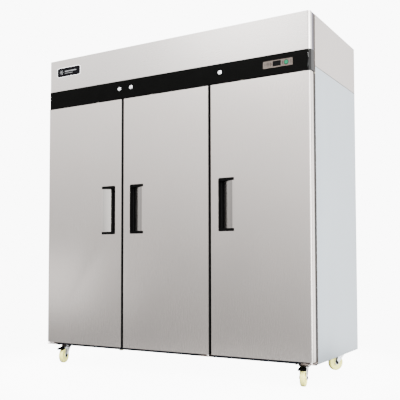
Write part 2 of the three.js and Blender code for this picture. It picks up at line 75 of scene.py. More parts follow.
class Finish:
    """One node material: a base shader whose colour, roughness and bump come from noise at real scales."""

    def __init__(self, name):
        self.material = bpy.data.materials.new(name)
        self.material.use_nodes = True
        self.nodes = self.material.node_tree.nodes
        self.links = self.material.node_tree.links
        self.shader = self.nodes["Principled BSDF"]
        self.place = self.nodes.new("ShaderNodeTexCoord").outputs["Object"]

    def set(self, **values):
        for socket, value in values.items():
            self.shader.inputs[socket.replace("_", " ")].default_value = value
        return self

    def noise(self, scale, detail=3.0, roughness=0.55):
        mapping = self.nodes.new("ShaderNodeMapping")
        mapping.inputs["Scale"].default_value = scale
        self.links.new(self.place, mapping.inputs["Vector"])
        noise = self.nodes.new("ShaderNodeTexNoise")
        noise.inputs["Scale"].default_value = 1.0
        noise.inputs["Detail"].default_value = detail
        noise.inputs["Roughness"].default_value = roughness
        self.links.new(mapping.outputs["Vector"], noise.inputs["Vector"])
        return noise.outputs["Fac"]

    def spread(self, value, low, high):
        stretch = self.nodes.new("ShaderNodeMapRange")
        stretch.inputs["From Min"].default_value = 0.3
        stretch.inputs["From Max"].default_value = 0.7
        stretch.inputs["To Min"].default_value = low
        stretch.inputs["To Max"].default_value = high
        self.links.new(value, stretch.inputs["Value"])
        return stretch.outputs["Result"]

    def blend(self, first, second, share=0.5):
        mix = self.nodes.new("ShaderNodeMix")
        mix.inputs["Factor"].default_value = share
        self.links.new(first, mix.inputs["A"])
        self.links.new(second, mix.inputs["B"])
        return mix.outputs["Result"]

    def colour(self, value, dark, light):
        ramp = self.nodes.new("ShaderNodeValToRGB")
        ramp.color_ramp.elements[0].position = 0.3
        ramp.color_ramp.elements[0].color = (*dark, 1.0)
        ramp.color_ramp.elements[1].position = 0.7
        ramp.color_ramp.elements[1].color = (*light, 1.0)
        self.links.new(value, ramp.inputs["Fac"])
        self.links.new(ramp.outputs["Color"], self.shader.inputs["Base Color"])
        return self

    def rough(self, value, low, high):
        self.links.new(self.spread(value, low, high), self.shader.inputs["Roughness"])
        return self

    def bump(self, value, depth, strength=1.0):
        bump = self.nodes.new("ShaderNodeBump")
        bump.inputs["Strength"].default_value = strength
        bump.inputs["Distance"].default_value = depth
        self.links.new(value, bump.inputs["Height"])
        self.links.new(bump.outputs["Normal"], self.shader.inputs["Normal"])
        return self


def shade(colour, factor):
    return tuple(min(1.0, c * factor) for c in colour)


def sheet_metal(name, colour, roughness, grain, depth=0.00001, contrast=0.04, play=0.05, cloud=2.5):
    """Brushed sheet: fine streaks with broad soft clouds of handling marks over them."""
    finish = Finish(name).set(Metallic=1.0, Anisotropic=0.35)
    streaks = finish.noise(grain, 2.0, 0.6)
    clouds = finish.noise((cloud, cloud, cloud), 3.0, 0.5)
    both = finish.blend(streaks, clouds, 0.45)
    finish.colour(both, shade(colour, 1 - contrast), shade(colour, 1 + contrast))
    finish.rough(both, roughness - play, roughness + play)
    return finish.bump(streaks, depth).material


def moulding(name, colour, roughness, grain=900.0, depth=0.00004, contrast=0.12, play=0.06, **values):
    """Moulded plastic or rubber: a fine pebbled skin with patches of wear."""
    finish = Finish(name).set(**values)
    pebbles = finish.noise((grain, grain, grain), 2.0, 0.5)
    patches = finish.noise((14.0, 14.0, 14.0), 4.0, 0.6)
    finish.colour(patches, shade(colour, 1 - contrast), shade(colour, 1 + contrast))
    finish.rough(finish.blend(pebbles, patches), roughness - play, roughness + play)
    return finish.bump(pebbles, depth).material


def plated(name, colour, roughness, contrast=0.12, patch=90.0, metallic=1.0):
    """Plated or cast metal: crystals and dull patches."""
    finish = Finish(name).set(Metallic=metallic)
    crystals = finish.noise((patch, patch, patch), 5.0, 0.65)
    fine = finish.noise((1400.0, 1400.0, 1400.0), 2.0, 0.5)
    finish.colour(crystals, shade(colour, 1 - contrast), shade(colour, 1 + contrast))
    finish.rough(crystals, roughness - 0.08, roughness + 0.1)
    return finish.bump(fine, 0.00001).material


def lamp_lens(name, colour, glow):
    finish = Finish(name).set(Transmission_Weight=0.1, Specular_IOR_Level=0.05, Emission_Strength=glow)
    swirl = finish.noise((160.0, 160.0, 160.0), 2.0, 0.5)
    finish.colour(swirl, shade(colour, 0.8), shade(colour, 1.2))
    finish.shader.inputs["Emission Color"].default_value = (*colour, 1.0)
    return finish.rough(swirl, 0.12, 0.24).material


def make_finishes():
    upright = (1500.0, 1500.0, 9.0)
    across = (9.0, 1500.0, 1500.0)
    along = (1500.0, 12.0, 1500.0)
    return {
        "door_steel": sheet_metal(
            "door_steel", (0.60, 0.553, 0.522), 0.27, upright, play=0.015, contrast=0.02
        ),
        "fascia_steel": sheet_metal(
            "fascia_steel", (0.585, 0.55, 0.525), 0.28, across, play=0.02, contrast=0.02
        ),
        "side_steel": sheet_metal("side_steel", (0.375, 0.42, 0.455), 0.42, upright, cloud=1.2),
        "upper_steel": sheet_metal("upper_steel", (0.41, 0.374, 0.352), 0.42, upright, cloud=1.2),
        # Near-black steel for the door edges along the gaps: painted shade in the gaps between doors.
        "gap_shade_steel": sheet_metal("gap_shade_steel", (0.012, 0.012, 0.012), 0.5, upright),
        # Near-black filler down each side of the fascia: painted shade of the gap between the fascia's return and
        # the upper side sheet.
        "filler_grey": moulding("filler_grey", (0.062, 0.057, 0.068), 0.5, 900.0, Specular_IOR_Level=0.06),
        # Darker copies of the door steel for the pocket slopes: painted shade of the recess, deeper on the middle
        # and right doors.
        "pocket_shade_steel": sheet_metal("pocket_shade_steel", (0.47, 0.447, 0.425), 0.26, upright, play=0.02),
        "pocket_deeper_shade_steel": sheet_metal(
            "pocket_deeper_shade_steel", (0.29, 0.272, 0.258), 0.26, upright, play=0.02
        ),
        # Near-black plastic: a real plastic frame on the doors whose darkness is also painted shade of the gap,
        # and pure painted shade on the cabinet's front edges.
        "trim_plastic": moulding(
            "trim_plastic", (0.036, 0.031, 0.028), 0.55, 900.0, Specular_IOR_Level=0.02
        ),
        # Blue-black for the strip under the doors: painted shade where the doors overhang the base.
        "base_slate": moulding("base_slate", (0.012, 0.0128, 0.019), 0.6, 900.0, Specular_IOR_Level=0.03),
        # Near-black: real black bolt heads on the casters, and painted shade for the top hinge leaves under the
        # strip and the ribs on the caster legs.
        "hinge_black": moulding("hinge_black", (0.006, 0.006, 0.006), 0.5, 900.0, Specular_IOR_Level=0.15),
        "cap_black": moulding(
            "cap_black", (0.006, 0.006, 0.006), 0.18, 500.0, 0.00001, play=0.04, Specular_IOR_Level=0.06
        ),
        "galvanised": plated("galvanised", (0.33, 0.345, 0.355), 0.42, 0.2, 55.0),
        "liner_steel": sheet_metal("liner_steel", (0.50, 0.505, 0.51), 0.34, along),
        "foam": moulding("foam", (0.82, 0.74, 0.50), 0.9, 260.0, 0.0004),
        "gasket_rubber": moulding(
            "gasket_rubber", (0.028, 0.028, 0.03), 0.62, 700.0, Specular_IOR_Level=0.03
        ),
        "black_plastic": moulding(
            "black_plastic", (0.0016, 0.0016, 0.0016), 0.42, 1100.0, 0.00003, Specular_IOR_Level=0.015
        ),
        "strip_black": moulding(
            "strip_black", (0.0014, 0.0014, 0.0013), 0.3, 500.0, 0.00001, play=0.05,
            Specular_IOR_Level=0.015,
        ),
        "badge_black": moulding(
            "badge_black", (0.002, 0.002, 0.0028), 0.25, 500.0, 0.00001, Specular_IOR_Level=0.03
        ),
        "badge_silver": plated("badge_silver", (0.33, 0.335, 0.345), 0.35),
        "bezel_white": moulding("bezel_white", (0.9, 0.9, 0.9), 0.3, 500.0, 0.00001, 0.04),
        "panel_grey": moulding(
            "panel_grey", (0.085, 0.07, 0.06), 0.4, 900.0, 0.00002, 0.25, Specular_IOR_Level=0.1
        ),
        "panel_mark": moulding(
            "panel_mark", (0.016, 0.010, 0.008), 0.5, 900.0, 0.00002, Specular_IOR_Level=0.05
        ),
        "display_glass": moulding(
            "display_glass", (0.002, 0.002, 0.002), 0.1, 300.0, 0.0, play=0.03, Specular_IOR_Level=0.03
        ),
        "lamp_green": lamp_lens("lamp_green", (0.0, 0.12, 0.055), 0.22),
        "button_grey": moulding(
            "button_grey", (0.06, 0.05, 0.043), 0.4, 800.0, 0.00002, Specular_IOR_Level=0.1
        ),
        "switch_grey": moulding("switch_grey", (0.30, 0.28, 0.26), 0.4, 800.0, 0.00002),
        "chrome": plated("chrome", (0.78, 0.78, 0.79), 0.16, 0.05),
        "zinc": plated("zinc", (0.82, 0.84, 0.87), 0.3, 0.1, 120.0, metallic=0.3),
        # Dark brown steel for the caster raceways: painted shade under the base.
        "race_steel": plated("race_steel", (0.075, 0.062, 0.052), 0.36, 0.3, 160.0),
        # Darkened brown steel for the bottom hinge leaves: painted shade under the doors.
        "bracket_steel": plated("bracket_steel", (0.36, 0.30, 0.27), 0.3, 0.3, 160.0),
        "wheel_nylon": moulding(
            "wheel_nylon", (0.80, 0.78, 0.22), 0.4, 500.0, 0.00003, 0.08, Specular_IOR_Level=0.3
        ),
        "shell_black": moulding("shell_black", (0.016, 0.016, 0.018), 0.3, 220.0, 0.0001, Coat_Weight=0.4),
        "fins": sheet_metal("fins", (0.62, 0.63, 0.64), 0.4, (40.0, 40.0, 900.0)),
        "copper": plated("copper", (0.72, 0.36, 0.22), 0.28, 0.2, 60.0),
        "wire_white": moulding("wire_white", (0.56, 0.57, 0.58), 0.34, 900.0, 0.00002, 0.05),
        "lamp_white": lamp_lens("lamp_white", (0.95, 0.96, 1.0), 0.6),
    }


# Shapes


def face_outwards(bm):
    bmesh.ops.recalc_face_normals(bm, faces=bm.faces)


def add_box(bm, low, high):
    low, high = Vector(low), Vector(high)
    place = Matrix.Translation((low + high) / 2) @ Matrix.Diagonal((*(high - low), 1.0))
    return bmesh.ops.create_cube(bm, size=1.0, matrix=place)["verts"]


def add_rod(bm, start, end, radius, sides=16, tip=None):
    start, end = Vector(start), Vector(end)
    along = end - start
    place = Matrix.Translation((start + end) / 2) @ along.to_track_quat("Z", "Y").to_matrix().to_4x4()
    tip = radius if tip is None else tip
    return bmesh.ops.create_cone(
        bm, cap_ends=True, segments=sides, radius1=radius, radius2=tip, depth=along.length, matrix=place
    )["verts"]


def running_back(origin):
    """A place whose own Z runs back into the cabinet from the origin."""
    return Matrix.Translation(origin) @ Matrix.Rotation(math.radians(-90), 4, "X")


def add_turned(bm, profile, place, steps=48):
    """Spins (radius, height) points round local Z and puts the body at place."""
    turned = bmesh.new()
    verts = [turned.verts.new((radius, 0.0, height)) for radius, height in profile]
    edges = [turned.edges.new(pair) for pair in zip(verts, verts[1:])]
    bmesh.ops.spin(
        turned, geom=verts + edges, cent=(0, 0, 0), axis=(0, 0, 1), angle=math.tau, steps=steps,
        use_merge=True,
    )
    bmesh.ops.remove_doubles(turned, verts=turned.verts, dist=TINY)
    face_outwards(turned)
    turned.transform(place)
    take_in(bm, turned)


def add_slab(bm, outline, depth):
    """Pulls a flat outline of points through the vector depth."""
    face = bm.faces.new([bm.verts.new(point) for point in outline])
    pulled = bmesh.ops.extrude_face_region(bm, geom=[face])["geom"]
    verts = [item for item in pulled if isinstance(item, bmesh.types.BMVert)]
    bmesh.ops.translate(bm, verts=verts, vec=depth)
    return verts


def take_in(bm, part):
    mesh = bpy.data.meshes.new("part")
    part.to_mesh(mesh)
    part.free()
    bm.from_mesh(mesh)
    bpy.data.meshes.remove(mesh)


def round_edges(bm, wanted, radius, segments=6):
    """Rounds the edges for which wanted(low end, high end) is true."""
    edges = [edge for edge in bm.edges if wanted(*(vert.co for vert in edge.verts))]
    bmesh.ops.bevel(
        bm, geom=edges, offset=radius, offset_type="OFFSET", segments=segments, profile=0.5,
        affect="EDGES", material=-1,
    )


def upright_at(x, y):
    return lambda a, b: all(abs(p.x - x) < TINY and abs(p.y - y) < TINY for p in (a, b))


def carved(body, cutter):
    """The body less the cutter, both given as meshes under edit."""
    objects = []
    for bm in (body, cutter):
        face_outwards(bm)
        mesh = bpy.data.meshes.new("carving")
        bm.to_mesh(mesh)
        bm.free()
        objects.append(bpy.data.objects.new("carving", mesh))
        bpy.context.scene.collection.objects.link(objects[-1])
    cut = objects[0].modifiers.new("cut", "BOOLEAN")
    cut.operation = "DIFFERENCE"
    cut.solver = "EXACT"
    cut.object = objects[1]
    result = bpy.data.meshes.new_from_object(
        objects[0].evaluated_get(bpy.context.evaluated_depsgraph_get())
    )
    made = bmesh.new()
    made.from_mesh(result)
    bpy.data.meshes.remove(result)
    for item in objects:
        mesh = item.data
        bpy.data.objects.remove(item)
        bpy.data.meshes.remove(mesh)
    return made


def piece(name, bm, body, finish, stands_for=(), bevel=0.0, segments=3, sharp=40.0, wall=0.0):
    """Finishes a mesh under edit as a named piece that rides on a body."""
    mesh = bpy.data.meshes.new(name)
    bm.to_mesh(mesh)
    bm.free()
    mesh.shade_smooth()
    obj = bpy.data.objects.new(name, mesh)
    bpy.context.scene.collection.objects.link(obj)
    for each in [finish] if isinstance(finish, str) else finish:
        mesh.materials.append(FINISHES[each])
    if wall:
        solidify = obj.modifiers.new("wall", "SOLIDIFY")
        solidify.thickness = wall
        solidify.offset = -1.0
    if bevel:
        rounding = obj.modifiers.new("rounding", "BEVEL")
        rounding.width = bevel
        rounding.segments = segments
        rounding.limit_method = "ANGLE"
        rounding.angle_limit = math.radians(sharp)
        rounding.harden_normals = True
    else:
        mesh.set_sharp_from_angle(angle=math.radians(sharp))
    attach(obj, body)
    if stands_for:
        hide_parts(*stands_for)
    return obj


def tube(name, points, radius, body, finish, sides=4):
    """A bent pipe or cable through the points, with smooth bends."""
    data = bpy.data.curves.new(name, "CURVE")
    data.dimensions = "3D"
    data.bevel_depth = radius
    data.bevel_resolution = sides
    data.use_fill_caps = True
    data.resolution_u = 8
    spline = data.splines.new("NURBS")
    spline.points.add(len(points) - 1)
    for point, place in zip(spline.points, points):
        point.co = (*place, 1.0)
    spline.order_u = 3
    spline.use_endpoint_u = True
    holder = bpy.data.objects.new(name, data)
    bpy.context.scene.collection.objects.link(holder)
    mesh = bpy.data.meshes.new_from_object(holder.evaluated_get(bpy.context.evaluated_depsgraph_get()))
    bpy.data.objects.remove(holder)
    bpy.data.curves.remove(data)
    bm = bmesh.new()
    bm.from_mesh(mesh)
    bpy.data.meshes.remove(mesh)
    bmesh.ops.remove_doubles(bm, verts=bm.verts, dist=TINY)
    face_outwards(bm)
    return piece(name, bm, body, finish, sharp=60.0)


def arc(centre, radius, start, end, steps):
    """Points of a round stretch in a plane, with angles in degrees."""
    angles = [math.radians(start + (end - start) * step / steps) for step in range(steps + 1)]
    return [(centre[0] + radius * math.cos(a), centre[1] + radius * math.sin(a)) for a in angles]


# Doors

DOORS = {"left": -1, "middle": 1, "right": 1}
DOOR_OUTER_RADIUS = 13 * MM
DOOR_INNER_RADIUS = 3.5 * MM
DOOR_TOP_RADIUS = 8 * MM
SKIN_DEPTH = 43 * MM
POCKET_CORNER = 9 * MM
POCKET_REACH = 113 * MM
POCKETS = {
    "left": (48 * MM, 19.5 * MM, 1.5), "middle": (23 * MM, 28 * MM, 2.1), "right": (23 * MM, 28 * MM, 2.1)
}
# The pocket slopes' steel for each door: painted shade, deeper on the middle and right doors.
POCKET_SHADE_FINISH = {"left": "pocket_shade_steel", "middle": "pocket_deeper_shade_steel", "right": "pocket_deeper_shade_steel"}


def pocket_place(name, hand):
    """A function from (distance from the deep edge, depth) to a plan place, and the pocket's heights."""
    low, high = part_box(f"door_{name}_handle")
    moulding_rim = 2.5 * MM
    deep = low.x + moulding_rim if hand > 0 else high.x - moulding_rim
    front = low.y
    return (lambda across, depth: (deep + hand * across, front + depth)), low.z, high.z


def pocket_curve(name, steps=14):
    """The pocket's floor, as (distance, depth) pairs from the black trough to the flush far edge."""
    trough, deep, power = POCKETS[name]
    parts = [step / steps for step in range(steps + 1)]
    return [(trough + (POCKET_REACH - trough) * part, deep * (1 - part) ** power) for part in parts]


def door_shell(name, hand):
    """The steel skin with its pocket pressed in. Its edges along the gaps between doors are painted near-black, as
    painted shade in the gaps.
    """
    low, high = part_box(f"door_{name}_skin")
    back = low.y + SKIN_DEPTH
    body = bmesh.new()
    add_box(body, low, (high.x, back, high.z))
    outer = {"left": low.x, "right": high.x}.get(name)
    for x in (low.x, high.x):
        round_edges(body, upright_at(x, low.y), DOOR_OUTER_RADIUS if x == outer else DOOR_INNER_RADIUS, 10)
    for z, radius in ((low.z, 2.2 * MM), (high.z, DOOR_TOP_RADIUS)):
        round_edges(
            body, lambda a, b: all(abs(p.z - z) < TINY and abs(p.y - low.y) < TINY for p in (a, b)), radius,
            6,
        )

    place, bottom, top = pocket_place(name, hand)
    rim = -2.8 * MM
    trough, slope_depth = POCKETS[name][:2]
    turn = min(trough - 5 * MM, 35 * MM)
    outline = [(rim, -5 * MM), (rim, 38 * MM), (turn, 38 * MM), (trough - 1 * MM, slope_depth + 3 * MM)]
    outline += pocket_curve(name) + [(114 * MM, -5 * MM)]
    cutter = bmesh.new()
    flat = [(*place(across, depth), bottom) for across, depth in outline]
    add_slab(cutter, flat, (0, 0, top - bottom))
    deep_x = place(rim, 0)[0]
    round_edges(
        cutter,
        lambda a, b: abs(a.z - b.z) < TINY and abs(a.x - deep_x) < TINY and abs(b.x - deep_x) < TINY,
        POCKET_CORNER,
    )
    shell = carved(body, cutter)
    for face in shell.faces:
        centre = face.calc_center_median()
        # Pocket faces take a darker steel: painted shade of the recess.
        if bottom < centre.z < top and low.y + MM < centre.y < back - MM and abs(face.normal.y) > 0.2:
            face.material_index = 2
        # Faces on the inner upright edges take the near-black steel: painted shade in the gaps between doors.
        for x in (low.x, high.x):
            if x != outer and abs(centre.x - x) < DOOR_INNER_RADIUS and abs(face.normal.x) > 0.04:
                face.material_index = 1
    piece(
        f"door_{name}_shell", shell, f"door_{name}", ["door_steel", "gap_shade_steel", POCKET_SHADE_FINISH[name]],
        [f"door_{name}_skin"], bevel=0.7 * MM, segments=2,
    )


def door_frame_trim(name):
    """A plastic frame tucked under the skin's folded edge and the inner sheet, set in from the outline. Its
    near-black colour is partly painted shade of the gap between door and cabinet.
    """
    low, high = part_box(f"door_{name}_skin")
    front = low.y + SKIN_DEPTH - 2 * MM
    inset = 0.9 * MM
    outer = bmesh.new()
    add_box(outer, (low.x + inset, front, low.z + inset), (high.x - inset, high.y, high.z - inset))
    inner = bmesh.new()
    rim = 16 * MM
    add_box(inner, (low.x + rim, front - MM, low.z + rim), (high.x - rim, high.y + MM, high.z - rim))
    piece(
        f"door_{name}_frame_trim", carved(outer, inner), f"door_{name}", "trim_plastic",
        bevel=1 * MM, segments=2,
    )
    fin = bmesh.new()
    near, far = 2 * MM, 3.6 * MM
    reach = high.y + 9.5 * MM
    add_box(fin, (low.x + near, high.y, low.z + near), (high.x - near, reach, high.z - near))
    hollow = bmesh.new()
    add_box(hollow, (low.x + far, high.y - MM, low.z + far), (high.x - far, reach + MM, high.z - far))
    piece(f"door_{name}_outer_fin", carved(fin, hollow), f"door_{name}", "gasket_rubber")


def door_pocket(name, hand):
    """The black moulding: a rolled trough under the opening edge and a lip at each end of the pocket."""
    place, bottom, top = pocket_place(name, hand)
    lip = 18 * MM
    roll = [(10 * MM + 9 * MM * math.cos(a), 25 * MM + 9 * MM * math.sin(a)) for a in
            [math.radians(180 - 90 * step / 6) for step in range(7)]]
    trough, slope_depth = POCKETS[name][:2]
    turn = min(trough - 6 * MM, 33 * MM)
    rise = [(41 * MM, 22.6 * MM)] if trough > 45 * MM else []
    inside = [(0.0, 0.0), (0.0, 20 * MM), *roll, (turn, 34 * MM), *rise, (trough, slope_depth)]
    outside = [
        (trough, slope_depth + 2 * MM), (turn, 36.5 * MM), (7 * MM, 36.5 * MM), (-2.5 * MM, 29 * MM),
        (-2.5 * MM, 0.0),
    ]
    bm = bmesh.new()
    section = [(*place(across, depth), bottom + 2 * MM) for across, depth in inside + outside]
    add_slab(bm, section, (0, 0, top - bottom - 4 * MM))

    wedge = [(-2.5 * MM, 0.2 * MM), (-2.5 * MM, 29 * MM), (7 * MM, 36.5 * MM), (turn, 36.5 * MM)]
    wedge += [(across, depth + 2.4 * MM) for across, depth in pocket_curve(name)] + [(112.8 * MM, 0.2 * MM)]
    deep_x = place(-2.5 * MM, 0)[0]
    for start, outer in ((bottom, bottom), (top - lip, top)):
        end = bmesh.new()
        add_slab(end, [(*place(across, depth), start) for across, depth in wedge], (0, 0, lip))
        round_edges(
            end,
            lambda a, b: all(abs(p.z - outer) < TINY and abs(p.x - deep_x) < TINY for p in (a, b)),
            POCKET_CORNER,
        )
        take_in(bm, end)
    face_outwards(bm)
    piece(
        f"door_{name}_pocket", bm, f"door_{name}", "black_plastic",
        [f"door_{name}_handle"], bevel=0.8 * MM, segments=2,
    )


def door_liner(name):
    """The inner face: a flat rim, a pressed channel and a raised panel, stepped in from one sheet."""
    low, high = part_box(f"door_{name}_liner")
    plate_back = high.y - 10 * MM
    bm = bmesh.new()
    size = Vector((high.x - low.x, high.z - low.z))
    place = Matrix.Translation(((low.x + high.x) / 2, plate_back, (low.z + high.z) / 2))
    place = place @ Matrix.Rotation(math.radians(-90), 4, "X") @ Matrix.Diagonal((size.x, size.y, 1.0, 1.0))
    bmesh.ops.create_grid(bm, x_segments=1, y_segments=1, size=0.5, matrix=place)
    centre = bm.faces[:]
    for inward, rise in (
        (43 * MM, 0.0), (5 * MM, 8 * MM), (4 * MM, 2 * MM), (26 * MM, 0.0), (5 * MM, -3 * MM)
    ):
        bmesh.ops.inset_region(
            bm, faces=centre, thickness=inward, depth=rise, use_even_offset=True, use_boundary=True
        )
    for vert in bm.verts:
        vert.co.y = min(vert.co.y, high.y)
    if sum(face.normal.y for face in bm.faces) < 0:
        bmesh.ops.reverse_faces(bm, faces=bm.faces)
    piece(
        f"door_{name}_inner_sheet", bm, f"door_{name}", "liner_steel",
        [f"door_{name}_liner"], bevel=1.5 * MM, sharp=20.0, wall=1.0 * MM,
    )


def door_gasket(name):
    """A magnetic gasket: a foot, a bellows fold and a flat sealing face, run round the door."""
    low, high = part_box(f"door_{name}_gasket")
    deep = high.y - low.y
    bm = bmesh.new()
    corners = [(low.x, low.z), (low.x, high.z), (high.x, high.z), (high.x, low.z)]
    centre = [bm.faces.new([bm.verts.new((x, low.y, z)) for x, z in corners])]
    bm.normal_update()
    steps = (
        (1.6 * MM, 0.35 * deep), (-1.2 * MM, 0.12 * deep), (0.8 * MM, 0.45 * deep), (0.8 * MM, 0.08 * deep),
        (9.4 * MM, 0.0), (0.8 * MM, -0.1 * deep), (0.9 * MM, -0.42 * deep), (-1.1 * MM, -0.13 * deep),
        (1.7 * MM, -0.35 * deep),
    )
    for inward, rise in steps:
        bmesh.ops.inset_region(
            bm, faces=centre, thickness=inward, depth=rise, use_even_offset=True, use_boundary=True
        )
    bmesh.ops.delete(bm, geom=centre, context="FACES_ONLY")
    bmesh.ops.bridge_loops(bm, edges=[edge for edge in bm.edges if edge.is_boundary])
    face_outwards(bm)
    piece(
        f"door_{name}_seal", bm, f"door_{name}", "gasket_rubber",
        [f"door_{name}_gasket"], bevel=0.4 * MM, segments=2, sharp=25.0,
    )


# Top leaves near-black and bottom leaves darkened brown steel: both painted shade, under the strip and under the
# doors.
HINGE_SHADE_FINISH = {"bottom": "bracket_steel", "top": "hinge_black"}


def door_hinges(name):
    for end in ("bottom", "top"):
        node = f"hinge_{name}_{end}"
        low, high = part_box(node)
        pivot = Vector(JOINTS[f"door_{name}_hinge"]["pos_m"])
        bm = bmesh.new()
        if end == "bottom":
            leaf_z, foot_low, foot_high = low.z + 5 * MM, low.z, high.z - 15 * MM
            leaf = (leaf_z, leaf_z + 5 * MM)
        else:
            leaf = (low.z + 14.5 * MM, low.z + 18.5 * MM)
            foot_low, foot_high = leaf[0], high.z
        add_box(bm, (low.x, low.y, leaf[0]), (high.x, high.y, leaf[1]))
        nose = low.y
        for x in (low.x, high.x):
            round_edges(bm, upright_at(x, nose), 7 * MM, 6)
        foot = bmesh.new()
        add_box(foot, (low.x, high.y - 3 * MM, foot_low), (high.x, high.y, foot_high))
        take_in(bm, foot)
        span = high.x - low.x
        for share in (0.2, 0.5, 0.8):
            x = low.x + span * share
            z = (foot_low + foot_high) / 2 + (4 * MM if end == "top" else 0)
            add_rod(bm, (x, high.y - 5.5 * MM, z), (x, high.y - 2 * MM, z), 3.2 * MM, 6)
        piece(
            f"hinge_{name}_{end}_leaf", bm, "cabinet", HINGE_SHADE_FINISH[end], [node], bevel=0.6 * MM,
            segments=2,
        )
        pin = bmesh.new()
        if end == "bottom":
            profile = [
                (0.0, leaf[0] - 3 * MM), (7 * MM, leaf[0] - 3 * MM), (7.5 * MM, leaf[0] + 1 * MM),
                (9 * MM, leaf[1] + 0.5 * MM), (9 * MM, leaf[1] + 6 * MM), (5 * MM, leaf[1] + 7 * MM),
                (5 * MM, high.z - 1 * MM), (4 * MM, high.z), (0.0, high.z),
            ]
        else:
            profile = [
                (0.0, low.z), (4 * MM, low.z), (5 * MM, low.z + 1 * MM), (5 * MM, leaf[0]),
                (7.5 * MM, leaf[1] - 0.5 * MM), (7 * MM, leaf[1] + 1 * MM), (0.0, leaf[1] + 1.2 * MM),
            ]
        add_turned(pin, profile, Matrix.Translation((pivot.x, pivot.y, 0)), 24)
        piece(f"hinge_{name}_{end}_pin", pin, "cabinet", "chrome")


def make_doors():
    for name, hand in DOORS.items():
        door_shell(name, hand)
        door_frame_trim(name)
        door_pocket(name, hand)
        door_liner(name)
        door_gasket(name)
        door_hinges(name)


# Cabinet

FASCIA_RADIUS = 18 * MM
FASCIA_RETURN = 24 * MM
STRIP_RADIUS = 13 * MM
SEAM = 1.8 * MM
EDGE_SHADE_STRIP = 13 * MM


def side_sheet(name, node, side, finish):
    """An outer side sheet: its front and end edges are folded inwards on small radii."""
    low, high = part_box(node)
    low.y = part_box("face_frame")[0].y + EDGE_SHADE_STRIP
    if node.startswith("upper"):
        low.z += SEAM
    else:
        high.z -= SEAM
    outer = high.x if side > 0 else low.x
    inner = outer - side * 14 * MM
    bm = bmesh.new()
    add_box(bm, (min(outer, inner), low.y, low.z), (max(outer, inner), high.y, high.z))
    round_edges(bm, upright_at(outer, low.y), 5 * MM, 6)
    for z in (low.z, high.z):
        round_edges(
            bm, lambda a, b: all(abs(p.z - z) < TINY and abs(p.x - inner) > 8 * MM for p in (a, b)),
            1.8 * MM, 4,
        )
    open_faces = [
        face for face in bm.faces if abs(
            face.calc_center_median().y - high.y
        ) < TINY or abs(face.calc_center_median().x - inner) < TINY
    ]
    bmesh.ops.delete(bm, geom=open_faces, context="FACES_ONLY")
    piece(name, bm, "cabinet", finish, [node], wall=1.0 * MM, sharp=50.0)


def make_sides():
    for name, side in (("left", -1), ("right", 1)):
        side_sheet(f"side_sheet_{name}", f"side_panel_{name}", side, "side_steel")
        side_sheet(f"upper_sheet_{name}", f"upper_panel_{name}", side, "upper_steel")
        low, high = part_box(f"upper_panel_{name}")
        outer = high.x if side > 0 else low.x
        xs = sorted((outer - side * 2.4 * MM, outer - side * 9 * MM))
        seal = bmesh.new()
        add_box(seal, (xs[0], low.y + 30 * MM, low.z - 6 * MM), (xs[1], high.y - 4 * MM, low.z + 6 * MM))
        piece(f"side_seam_seal_{name}", seal, "cabinet", "gasket_rubber", bevel=0.5 * MM)
        frame_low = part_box("face_frame")[0]
        # A near-black strip on each side's front edge: painted shade of the gap between the doors and the side
        # sheet.
        xs = sorted((outer - side * 0.9 * MM, outer - side * 10 * MM))
        trim = bmesh.new()
        add_box(
            trim, (xs[0], frame_low.y, frame_low.z),
            (xs[1], frame_low.y + EDGE_SHADE_STRIP + 4 * MM, low.z - 42 * MM),
        )
        add_box(
            trim, (xs[0], low.y, low.z - 40 * MM),
            (xs[1], frame_low.y + EDGE_SHADE_STRIP + 4 * MM, high.z - 1 * MM),
        )
        piece(
            f"cabinet_edge_shade_strip_{name}", trim, "cabinet", "trim_plastic", bevel=0.8 * MM,
            segments=2,
        )


def wrapped_shell(node, radius):
    """A front sheet that turns both front corners on a radius, open at the back."""
    low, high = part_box(node)
    bm = bmesh.new()
    add_box(bm, low, high)
    for x in (low.x, high.x):
        round_edges(bm, upright_at(x, low.y), radius, 14)
    back = [face for face in bm.faces if abs(face.calc_center_median().y - high.y) < TINY]
    bmesh.ops.delete(bm, geom=back, context="FACES_ONLY")
    return bm, low, high


def cut_away(bm, x, keep_right):
    """Cuts at a plane across X and keeps one side."""
    geom = bm.verts[:] + bm.edges[:] + bm.faces[:]
    bmesh.ops.bisect_plane(
        bm, geom=geom, plane_co=(x, 0, 0), plane_no=(1, 0, 0), clear_inner=keep_right,
        clear_outer=not keep_right,
    )


